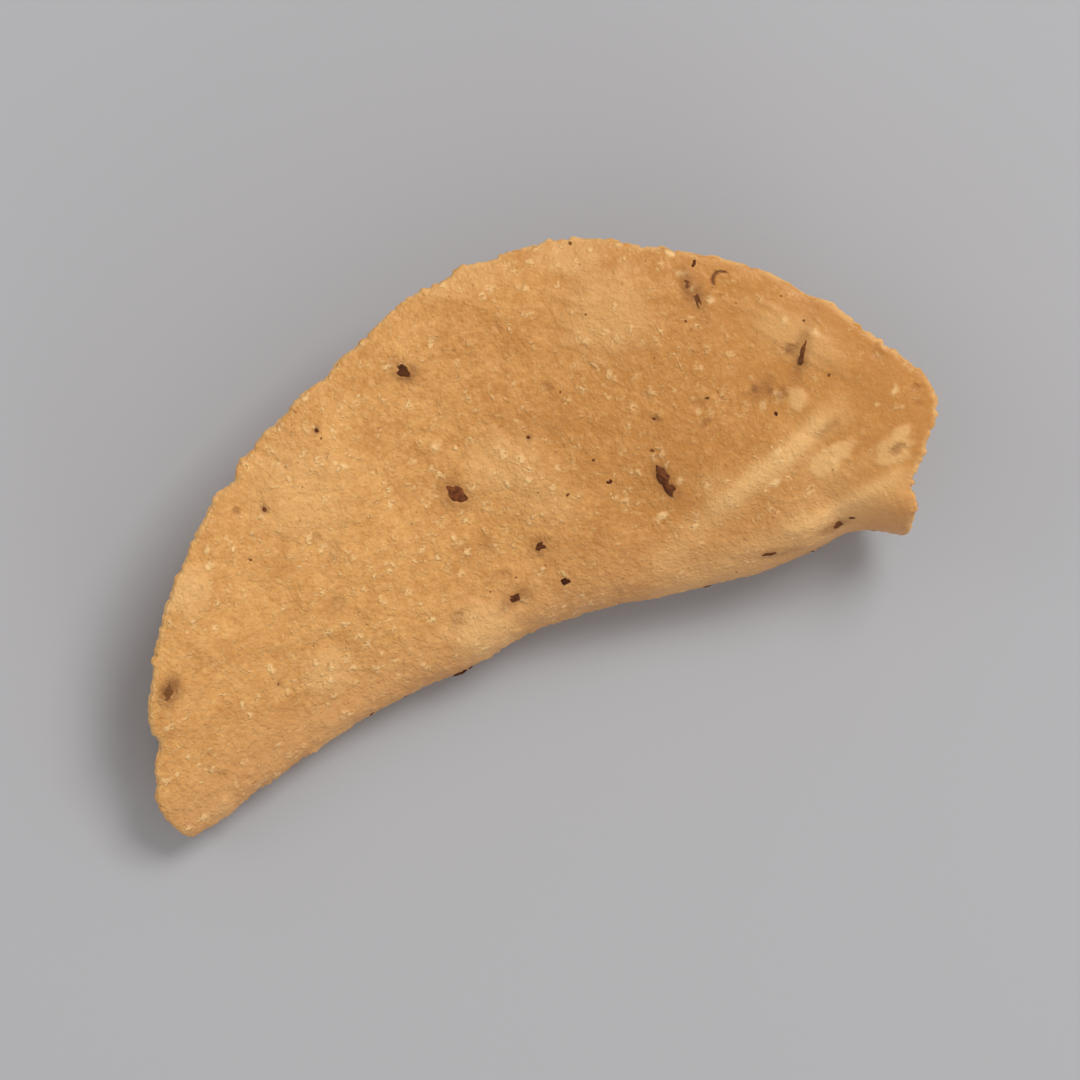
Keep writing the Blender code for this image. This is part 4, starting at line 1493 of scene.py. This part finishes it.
@dataclass
class Sheet:
    """A node tree, with short ways to lay nodes on it."""

    tree: bpy.types.NodeTree

    def node(self, kind: str, **settings: object) -> bpy.types.Node:
        """A new node of that kind, with its settings made."""
        made = self.tree.nodes.new(kind)
        for name, value in settings.items():
            setattr(made, name, value)
        return made

    def feed(self, socket: bpy.types.NodeSocket, value: object) -> None:
        """Links a socket to an input, or sets the input to a plain value."""
        if isinstance(value, bpy.types.NodeSocket):
            self.tree.links.new(value, socket)
        else:
            socket.default_value = value

    def math(
        self, operation: str, first: object, second: object = 0.0, clamp: bool = True
    ) -> Socket:
        """The result of a sum, clamped between 0 and 1 unless it is told otherwise."""
        made = self.node("ShaderNodeMath", operation=operation, use_clamp=clamp)
        self.feed(made.inputs[0], first)
        self.feed(made.inputs[1], second)
        return made.outputs[0]

    def times(self, first: object, second: object) -> Socket:
        """The product of two values between 0 and 1."""
        return self.math("MULTIPLY", first, second)

    def blend(self, share: object, low: object, high: object) -> Socket:
        """The colour between two others."""
        made = self.node("ShaderNodeMix", data_type="RGBA")
        self.feed(made.inputs[0], share)
        self.feed(made.inputs[6], low)
        self.feed(made.inputs[7], high)
        return made.outputs[2]

    def wash(
        self, colour: object, wash: Wash, mask: Socket, within: Socket | None = None
    ) -> Socket:
        """A colour with a wash laid over it where one mask shows, or where both do."""
        share = self.times(mask, wash.share)
        if within is not None:
            share = self.times(share, within)
        return self.blend(share, colour, linear(wash.tone))

    def ramp(
        self, value: object, given: tuple[object, object] = (0.0, 1.0), made: Span = (0.0, 1.0)
    ) -> Socket:
        """A value carried smoothly from one range to another."""
        node = self.node("ShaderNodeMapRange", interpolation_type="SMOOTHSTEP")
        self.feed(node.inputs["Value"], value)
        for name, bound in zip(("From Min", "From Max", "To Min", "To Max"), (*given, *made)):
            self.feed(node.inputs[name], bound)
        return node.outputs["Result"]

    def bump(self, height: object, strength: float, depth: float) -> Socket:
        """A normal that follows a height, 1 being the whole depth."""
        made = self.node("ShaderNodeBump")
        self.feed(made.inputs["Strength"], strength)
        self.feed(made.inputs["Distance"], depth)
        self.feed(made.inputs["Height"], height)
        return made.outputs[0]

    def noise(self, place: object, detail: float, rough: float = 0.5) -> Socket:
        """Soft noise between 0 and 1, one cell to a unit."""
        made = self.node("ShaderNodeTexNoise", noise_dimensions="3D")
        self.feed(made.inputs["Vector"], place)
        self.feed(made.inputs["Scale"], 1.0)
        self.feed(made.inputs["Detail"], detail)
        self.feed(made.inputs["Roughness"], rough)
        return made.outputs[0]

    def shaken(self, place: object, fineness: float, reach: float) -> Socket:
        """A place shifted by soft noise, so that what is drawn there loses its even outline."""
        made = self.node("ShaderNodeTexNoise", noise_dimensions="3D")
        self.feed(made.inputs["Vector"], place)
        self.feed(made.inputs["Scale"], fineness)
        self.feed(made.inputs["Detail"], 1.0)
        shift = self.node("ShaderNodeVectorMath", operation="MULTIPLY_ADD")
        self.feed(shift.inputs[0], made.outputs["Color"])
        self.feed(shift.inputs[1], (reach, reach, reach))
        self.feed(shift.inputs[2], place)
        return shift.outputs[0]

    def cells(self, place: object) -> tuple[Socket, Socket, Socket]:
        """Distance from the middle of the nearest scattered cell, and two random numbers of it."""
        made = self.node("ShaderNodeTexVoronoi", voronoi_dimensions="3D", feature="F1")
        self.feed(made.inputs["Vector"], place)
        self.feed(made.inputs["Scale"], 1.0)
        self.feed(made.inputs["Randomness"], 1.0)
        parts = self.node("ShaderNodeSeparateColor")
        self.feed(parts.inputs[0], made.outputs["Color"])
        return made.outputs["Distance"], parts.outputs[0], parts.outputs[1]

    def cell_edges(self, place: object) -> Socket:
        """Distance from the nearest edge between scattered cells."""
        made = self.node(
            "ShaderNodeTexVoronoi", voronoi_dimensions="3D", feature="DISTANCE_TO_EDGE"
        )
        self.feed(made.inputs["Vector"], place)
        self.feed(made.inputs["Scale"], 1.0)
        return made.outputs["Distance"]

    def scaled(self, place: object, fineness: object) -> Socket:
        """A place multiplied by a number."""
        made = self.node("ShaderNodeVectorMath", operation="SCALE")
        self.feed(made.inputs[0], place)
        self.feed(made.inputs["Scale"], fineness)
        return made.outputs[0]

    def mask(self, name: str) -> Socket:
        """A mask stored on the mesh."""
        return self.node("ShaderNodeAttribute", attribute_name=name).outputs["Fac"]

    def place(self) -> Socket:
        """The place on the piece, in metres."""
        return self.node("ShaderNodeTexCoord").outputs["Object"]

    def group(self, group: bpy.types.NodeTree, **values: object) -> Socket:
        """What a node group puts out, placed with its own values."""
        made = self.node("ShaderNodeGroup", node_tree=group)
        for name, value in values.items():
            self.feed(made.inputs[name], value)
        return made.outputs[0]


@dataclass
class Effects:
    """The effects that both the dough and the pepper use, each built once as a node group.

    Their sizes are in cells of the effect, of which its fineness puts so many to a metre.
    """

    cloud_roughness: float = 0.6
    mottle_detail: float = 4.0
    grain_detail: float = 3.0
    grain_crumb: float = 0.7
    speck_shake: Span = (1.9, 0.75)
    speck_radius: Span = (0.35, 1.0)
    speck_core: float = 0.15
    break_fineness: float = 2.4
    break_detail: float = 1.0
    break_range: Span = (0.42, 0.54)
    crowd_fineness: float = 0.17
    crowd_detail: float = 2.0
    crowd_range: Span = (0.36, 0.64)
    crowding: Span = (0.25, 1.6)
    mottle: bpy.types.NodeTree = field(init=False)
    specks: bpy.types.NodeTree = field(init=False)
    grain: bpy.types.NodeTree = field(init=False)

    def __post_init__(self) -> None:
        """Builds the groups."""
        self.mottle = self.make_mottle()
        self.specks = self.make_specks()
        self.grain = self.make_grain()

    @staticmethod
    def start(
        name: str, numbers: tuple[str, ...], output: str
    ) -> tuple[Sheet, bpy.types.bpy_prop_collection]:
        """An empty group that is given a place and some numbers.

        Args:
            name: The group's name.
            numbers: The names of the numbers.
            output: The name of its one output, a number.

        Returns:
            Its sheet, and what it is given, by name.
        """
        tree = bpy.data.node_groups.new(name, "ShaderNodeTree")
        kinds = {"Place": "NodeSocketVector", **dict.fromkeys(numbers, "NodeSocketFloat")}
        for label, kind in kinds.items():
            tree.interface.new_socket(name=label, in_out="INPUT", socket_type=kind)
        tree.interface.new_socket(name=output, in_out="OUTPUT", socket_type="NodeSocketFloat")
        sheet = Sheet(tree)
        return sheet, sheet.node("NodeGroupInput").outputs

    @staticmethod
    def end(sheet: Sheet, value: Socket) -> bpy.types.NodeTree:
        """Gives a group its output."""
        sheet.feed(sheet.node("NodeGroupOutput").inputs[0], value)
        return sheet.tree

    def make_mottle(self) -> bpy.types.NodeTree:
        """Soft uneven browning: broad clouds with finer ones in them."""
        sheet, given = self.start("mottle", ("Fineness", "Sharpness"), "Mask")
        place = sheet.scaled(given["Place"], given["Fineness"])
        clouds = sheet.noise(place, self.mottle_detail, self.cloud_roughness)
        centred = sheet.math("SUBTRACT", clouds, 0.5, clamp=False)
        spread = sheet.math("MULTIPLY", centred, given["Sharpness"], clamp=False)
        return self.end(sheet, sheet.math("ADD", spread, 0.5))

    def make_specks(self) -> bpy.types.NodeTree:
        """Small uneven specks, crowded in some places and sparse in others."""
        sheet, given = self.start("specks", ("Fineness", "Share", "Width"), "Mask")
        place = sheet.scaled(given["Place"], given["Fineness"])
        distance, chance, spread = sheet.cells(sheet.shaken(place, *self.speck_shake))
        radius = sheet.times(sheet.ramp(spread, made=self.speck_radius), given["Width"])
        body = sheet.ramp(distance, given=(radius, sheet.times(radius, self.speck_core)))
        broken = sheet.noise(sheet.scaled(place, self.break_fineness), self.break_detail)
        body = sheet.times(body, sheet.ramp(broken, given=self.break_range))
        crowd = sheet.noise(sheet.scaled(place, self.crowd_fineness), self.crowd_detail)
        crowd = sheet.ramp(crowd, given=self.crowd_range, made=self.crowding)
        crowd = sheet.times(crowd, given["Share"])
        return self.end(sheet, sheet.times(body, sheet.math("LESS_THAN", chance, crowd)))

    def make_grain(self) -> bpy.types.NodeTree:
        """The height of a sandy grain: packed round crumbs under soft noise."""
        sheet, given = self.start("grain", ("Fineness", "Softness"), "Height")
        place = sheet.scaled(given["Place"], given["Fineness"])
        distance, _, _ = sheet.cells(place)
        crumbs = sheet.ramp(distance, given=(0.0, self.grain_crumb), made=(1.0, 0.0))
        cloud = sheet.noise(place, self.grain_detail, self.cloud_roughness)
        made = sheet.node("ShaderNodeMix", data_type="FLOAT")
        sheet.feed(made.inputs[0], given["Softness"])
        sheet.feed(made.inputs[2], crumbs)
        sheet.feed(made.inputs[3], cloud)
        return self.end(sheet, made.outputs[0])


def new_material(name: str) -> tuple[bpy.types.Material, Sheet, bpy.types.Node]:
    """A node material with its sheet and its shader."""
    material = bpy.data.materials.new(name)
    material.use_nodes = True
    return material, Sheet(material.node_tree), material.node_tree.nodes["Principled BSDF"]


@dataclass(frozen=True)
class Wash:
    """A tone laid over a finish, and how strongly it covers at most."""

    tone: Tone
    share: float


@dataclass(frozen=True)
class DoughLayers:
    """What the dough's colour and its relief both read: masks that change over its surface."""

    mask: dict[str, Socket]
    broad: Socket
    close: Socket
    sand: Socket
    glints: Socket
    # Painted highlight: fine pale glint specks.
    dust: Socket
    pores: Socket
    grain: Socket
    crack: Socket
    lip: Socket


@dataclass(frozen=True)
class DoughFinish:
    """Golden fried dough: sandy grain, painted glints, brown pits, painted shade and a faint oily
    sheen.

    A weight is a layer's part in the browning, and a rise its part in the relief, whose whole depth
    is the bump's.
    """

    light: Tone = (231, 171, 96)
    deep: Tone = (189, 126, 56)
    # Painted shade and sheen: the bend is washed darker and greyer.
    bend_shade_sheen: Wash = Wash((203, 145, 87), 0.75)
    pale: Wash = Wash((231, 180, 114), 0.78)
    # Grains and fold crumbs painted paler: partly their colour, partly painted highlight on their
    # tops.
    crumb: Wash = Wash((231, 180, 114), 0.55)
    # Painted highlight on the pale lips beside the flake cracks.
    flake_lip_highlight: Wash = Wash((248, 206, 142), 0.35)
    glint: Wash = Wash((248, 206, 142), 0.65)
    # Painted highlight: a finer layer of pale glint specks, in the glints' tone.
    dust: Wash = Wash((248, 206, 142), 0.35)
    # Small pits painted darker brown: partly their colour, partly painted shade in them.
    pore_shade: Wash = Wash((156, 96, 42), 0.5)
    # Painted shade in the flake cracks.
    flake_crack_shade: Wash = Wash((166, 106, 50), 0.45)
    # Pale flecks: partly pale crumbs, partly painted glints.
    cream_glint: Wash = Wash((248, 206, 142), 0.8)
    # Pale crust and painted highlight along the rim.
    rim_crust_highlight: Tone = (240, 190, 122)
    rim_crust_highlight_clouds: Span = (0.25, 0.75)
    rim_crust_highlight_share: Span = (0.0, 0.6)
    stain: Tone = (138, 85, 35)
    stain_clouds: Span = (0.2, 0.8)
    stain_share: Span = (0.5, 0.95)
    scorched: Tone = (96, 44, 14)
    toast_and_shade_weight: float = 0.75
    broad_weight: float = 0.2
    browning_start: float = 0.12
    close_weight: float = 0.42
    sand_weight: Span = (0.1, 0.4)
    grain_rise: float = 0.3
    glint_rise: float = 0.3
    dust_rise: float = 0.15
    # Rise of the fine glint specks that are painted as highlights.
    sand_rise: float = 0.25
    calm_rise: Span = (0.35, 1.0)
    lip_rise: float = 0.15
    ground_rise: float = 0.2
    pore_sink: float = 0.2
    crack_sink: float = 0.08
    bump_strength: float = 1.0
    bump_depth: float = 0.34 * MM
    roughness: Span = (0.42, 0.62)
    gloss: float = 0.4
    sheen_coat: float = 0.08
    sheen_roughness: float = 0.38
    flake_fineness: float = 760.0
    flake_shake: Span = (1.3, 0.7)
    gap_fineness: float = 1.4
    gap_detail: float = 2.0
    gap_range: Span = (0.63, 0.73)
    crack_width: float = 0.08
    lip_width: float = 0.30

    def material(self, effects: Effects) -> bpy.types.Material:
        """The finish as a material.

        Args:
            effects: The shared node groups.

        Returns:
            The material.
        """
        material, sheet, shader = new_material("fried_dough")
        layers = self.layers(sheet, effects)
        normal = sheet.bump(self.relief(sheet, layers), self.bump_strength, self.bump_depth)
        sheet.feed(shader.inputs["Base Color"], self.colour(sheet, layers))
        sheet.feed(shader.inputs["Roughness"], sheet.ramp(layers.close, made=self.roughness))
        sheet.feed(shader.inputs["Normal"], normal)
        sheet.feed(shader.inputs["Specular IOR Level"], self.gloss)
        sheet.feed(shader.inputs["Coat Weight"], self.sheen_coat)
        sheet.feed(shader.inputs["Coat Roughness"], self.sheen_roughness)
        return material

    def layers(self, sheet: Sheet, effects: Effects) -> DoughLayers:
        """The layers that the finish is made of.

        Args:
            sheet: The sheet that they are laid on.
            effects: The shared node groups.

        Returns:
            The layers.
        """
        place = sheet.place()
        mask = {name: sheet.mask(name) for name in MASKS}
        crack, lip = self.flake_edges(sheet, place)
        mottle, specks, grain = effects.mottle, effects.specks, effects.grain
        return DoughLayers(
            mask=mask,
            broad=sheet.group(mottle, Place=place, Fineness=110.0, Sharpness=2.2),
            close=sheet.group(mottle, Place=place, Fineness=430.0, Sharpness=2.4),
            sand=sheet.group(mottle, Place=place, Fineness=1500.0, Sharpness=3.0),
            glints=sheet.group(specks, Place=place, Fineness=760.0, Share=0.85, Width=0.62),
            # Fine pale glint specks, painted as highlights.
            dust=sheet.group(specks, Place=place, Fineness=1900.0, Share=0.7, Width=0.5),
            pores=sheet.group(specks, Place=place, Fineness=800.0, Share=0.3, Width=0.27),
            grain=sheet.group(grain, Place=place, Fineness=2500.0, Softness=0.5),
            crack=sheet.times(crack, mask["sandy"]),
            lip=sheet.times(lip, mask["sandy"]),
        )

    def colour(self, sheet: Sheet, layers: DoughLayers) -> Socket:
        """The colour: browned dough, with washes, stains and pits over it; several washes are
        painted shade, sheen or highlights.
        """
        mask, close = layers.mask, layers.close
        # The browning here includes painted shade.
        toasted_and_shaded = sheet.times(mask["toast_and_shade"], self.toast_and_shade_weight)
        browning = sheet.math("ADD", toasted_and_shaded, sheet.times(layers.broad, self.broad_weight))
        browning = sheet.math("SUBTRACT", browning, self.browning_start)
        browning = sheet.math("ADD", browning, sheet.times(close, self.close_weight))
        sanded = sheet.times(layers.sand, sheet.ramp(mask["sandy"], made=self.sand_weight))
        browning = sheet.math("ADD", browning, sanded)
        colour = sheet.blend(browning, linear(self.light), linear(self.deep))
        # Painted shade and sheen over the bend.
        colour = sheet.wash(colour, self.bend_shade_sheen, mask["bend"])
        colour = sheet.wash(colour, self.pale, mask["pale"])
        # Paler grains and fold crumbs, partly painted highlight.
        colour = sheet.wash(colour, self.crumb, mask["grain"])
        # Painted highlight along the flake lips.
        colour = sheet.wash(colour, self.flake_lip_highlight, layers.lip)
        colour = sheet.wash(colour, self.glint, layers.glints, within=mask["sandy"])
        # Painted highlights: fine glint specks.
        colour = sheet.wash(colour, self.dust, layers.dust, within=mask["sandy"])
        # Small pits painted darker: partly brown, partly painted shade.
        colour = sheet.wash(colour, self.pore_shade, layers.pores)
        # Painted shade in the flake cracks.
        colour = sheet.wash(colour, self.flake_crack_shade, layers.crack)
        # Pale flecks, partly painted glints.
        colour = sheet.wash(colour, self.cream_glint, mask["cream_glint"])
        # Pale crust and painted highlight along the rim.
        line = sheet.times(mask["edge"], sheet.ramp(close, self.rim_crust_highlight_clouds, self.rim_crust_highlight_share))
        colour = sheet.blend(line, colour, linear(self.rim_crust_highlight))
        stain = sheet.times(mask["halo"], sheet.ramp(close, self.stain_clouds, self.stain_share))
        colour = sheet.blend(stain, colour, linear(self.stain))
        return sheet.blend(mask["brown"], colour, linear(self.scorched))

    def relief(self, sheet: Sheet, layers: DoughLayers) -> Socket:
        """The height of the relief that is too fine for the mesh."""
        height = sheet.times(layers.grain, self.grain_rise)
        raised = (
            (layers.glints, self.glint_rise),
            (layers.dust, self.dust_rise),
            (layers.sand, self.sand_rise),
        )
        for layer, rise in raised:
            height = sheet.math("ADD", height, sheet.times(layer, rise))
        height = sheet.times(height, sheet.ramp(layers.mask["sandy"], made=self.calm_rise))
        height = sheet.math("ADD", height, sheet.times(layers.lip, self.lip_rise))
        height = sheet.math("ADD", height, self.ground_rise)
        height = sheet.math("SUBTRACT", height, sheet.times(layers.pores, self.pore_sink))
        return sheet.math("SUBTRACT", height, sheet.times(layers.crack, self.crack_sink))

    def flake_edges(self, sheet: Sheet, place: Socket) -> tuple[Socket, Socket]:
        """Short curved cracks where small flakes of the skin lift.

        Args:
            sheet: The sheet that they are laid on.
            place: The place on the piece.

        Returns:
            A mask of the cracks, and one of the pale lips beside them.
        """
        cells = sheet.shaken(sheet.scaled(place, self.flake_fineness), *self.flake_shake)
        edge = sheet.cell_edges(cells)
        gaps = sheet.noise(sheet.scaled(cells, self.gap_fineness), self.gap_detail)
        shown = sheet.ramp(gaps, given=self.gap_range)
        crack, lip = (
            sheet.times(sheet.ramp(edge, given=width, made=(1.0, 0.0)), shown)
            for width in ((0.0, self.crack_width), (self.crack_width, self.lip_width))
        )
        return crack, sheet.math("SUBTRACT", lip, crack)


@dataclass(frozen=True)
class PepperFinish:
    """Cracked pepper: a charred, wrinkled hull and a browner broken inside."""

    hull: Tone = (58, 22, 4)
    inside: Tone = (142, 80, 44)
    inside_clouds: Span = (0.15, 0.85)
    inside_share: Span = (0.35, 1.0)
    dusty: Wash = Wash((156, 98, 52), 0.25)
    veiled: Tone = (150, 102, 56)
    gloss: float = 0.12
    roughness: Span = (0.5, 0.75)
    bump_strength: float = 0.9
    bump_depth: float = 0.12 * MM

    def material(self, effects: Effects) -> bpy.types.Material:
        """The finish as a material.

        Args:
            effects: The shared node groups.

        Returns:
            The material.
        """
        material, sheet, shader = new_material("black_pepper")
        place = sheet.place()
        cloud = sheet.group(effects.mottle, Place=place, Fineness=1400.0, Sharpness=3.0)
        dust = sheet.group(effects.specks, Place=place, Fineness=2400.0, Share=0.35, Width=0.4)
        wrinkle = sheet.group(effects.grain, Place=place, Fineness=3400.0, Softness=0.6)
        shown = sheet.ramp(cloud, self.inside_clouds, self.inside_share)
        share = sheet.times(sheet.mask("tone"), shown)
        colour = sheet.blend(share, linear(self.hull), linear(self.inside))
        colour = sheet.wash(colour, self.dusty, dust)
        colour = sheet.blend(sheet.mask("veil"), colour, linear(self.veiled))
        normal = sheet.bump(wrinkle, self.bump_strength, self.bump_depth)
        sheet.feed(shader.inputs["Base Color"], colour)
        sheet.feed(shader.inputs["Specular IOR Level"], self.gloss)
        sheet.feed(shader.inputs["Roughness"], sheet.ramp(cloud, made=self.roughness))
        sheet.feed(shader.inputs["Normal"], normal)
        return material


@dataclass(frozen=True)
class SoftLight:
    """A soft square light that faces the wafer.

    Its energy is in watts. Its bearing is in degrees clockwise from the top of the photograph, and
    its elevation in degrees above the floor.
    """

    name: str
    energy: float
    bearing: float
    elevation: float


@dataclass
class Studio:
    """A plain pale floor, soft light and a camera that looks straight down on the wafer.

    The photograph's frame is turned about the upright, so that the fold rises to the right in it.
    """

    turn: float = math.radians(-30.7)
    middle: tuple[float, float, float] = (2.6 * MM, -4.6 * MM, 14.0 * MM)
    frame_width: float = 106.0 * MM
    distance: float = 1.5
    sensor: float = 36.0
    clip_start: float = 0.01
    floor_half: float = 1.5
    floor_tone: Tone = (171, 170, 172)
    floor_roughness: float = 0.9
    floor_gloss: float = 0.2
    sky: float = 0.54
    light_size: float = 0.40
    light_distance: float = 1.0
    lights: tuple[SoftLight, ...] = (
        SoftLight("key", 6.2, 40.0, 55.0),
        SoftLight("fill", 0.7, -70.0, 40.0),
        SoftLight("bounce", 1.3, 150.0, 22.0),
    )

    def lay_floor(self) -> None:
        """Lays the floor that the wafer lies on."""
        mesh = bpy.data.meshes.new("floor")
        half = self.floor_half
        corners = [(-half, -half, 0), (half, -half, 0), (half, half, 0), (-half, half, 0)]
        mesh.from_pydata(corners, [], [(0, 1, 2, 3)])
        floor = bpy.data.objects.new("floor", mesh)
        bpy.context.scene.collection.objects.link(floor)
        material, sheet, shader = new_material("plain_floor")
        sheet.feed(shader.inputs["Base Color"], linear(self.floor_tone))
        sheet.feed(shader.inputs["Roughness"], self.floor_roughness)
        sheet.feed(shader.inputs["Specular IOR Level"], self.floor_gloss)
        mesh.materials.append(material)

    def hang(self, light: SoftLight) -> None:
        """Hangs one light, facing the wafer."""
        lamp = bpy.data.lights.new(light.name, "AREA")
        lamp.energy = light.energy
        lamp.size = self.light_size
        item = bpy.data.objects.new(light.name, lamp)
        bpy.context.scene.collection.objects.link(item)
        around = math.radians(90.0 - light.bearing) + self.turn
        up = math.radians(light.elevation)
        flat = math.cos(up)
        way = Vector((flat * math.cos(around), flat * math.sin(around), math.sin(up)))
        item.location = Vector(self.middle) + way * self.light_distance
        item.rotation_euler = way.to_track_quat("Z", "Y").to_euler()

    def set_camera(self) -> None:
        """The camera, straight above."""
        camera = bpy.data.cameras.new("camera")
        camera.sensor_width = self.sensor
        camera.lens = self.sensor * self.distance / self.frame_width
        camera.clip_start = self.clip_start
        item = bpy.data.objects.new("camera", camera)
        item.location = Vector(self.middle) + Vector((0.0, 0.0, self.distance))
        item.rotation_euler = (0.0, 0.0, self.turn)
        bpy.context.scene.collection.objects.link(item)
        bpy.context.scene.camera = item

    def build(self) -> None:
        """Sets up the whole studio."""
        world = bpy.data.worlds.new("studio")
        world.use_nodes = True
        background = world.node_tree.nodes["Background"]
        background.inputs["Color"].default_value = (1.0, 1.0, 1.0, 1.0)
        background.inputs["Strength"].default_value = self.sky
        scene = bpy.context.scene
        scene.world = world
        scene.view_settings.view_transform = "Standard"
        scene.view_settings.look = "None"
        self.lay_floor()
        for light in self.lights:
            self.hang(light)
        self.set_camera()


def main() -> None:
    """Builds the wafer, its pepper and the studio."""
    logging.basicConfig(level=logging.INFO, format="%(name)s: %(message)s")
    fold = Fold()
    rim = Rim(fold)
    relief = Relief(fold, rim)
    effects = Effects()
    pepper = Pepper(fold, rim)
    pepper.gather()
    wafer = Wafer(fold, rim, relief, pepper.bits)

    sheet, shift = wafer.build(DoughFinish().material(effects))
    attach(sheet, BODY)
    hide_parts(NODE)
    LOG.info("wafer: %d triangles", len(sheet.data.polygons))

    crushed = pepper.build(wafer, shift, PepperFinish().material(effects))
    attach(crushed, BODY)
    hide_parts(NODE)
    LOG.info("pepper: %d pieces, %d triangles", len(pepper.bits), len(crushed.data.polygons))

    Studio().build()


if __name__ == "__main__":
    main()
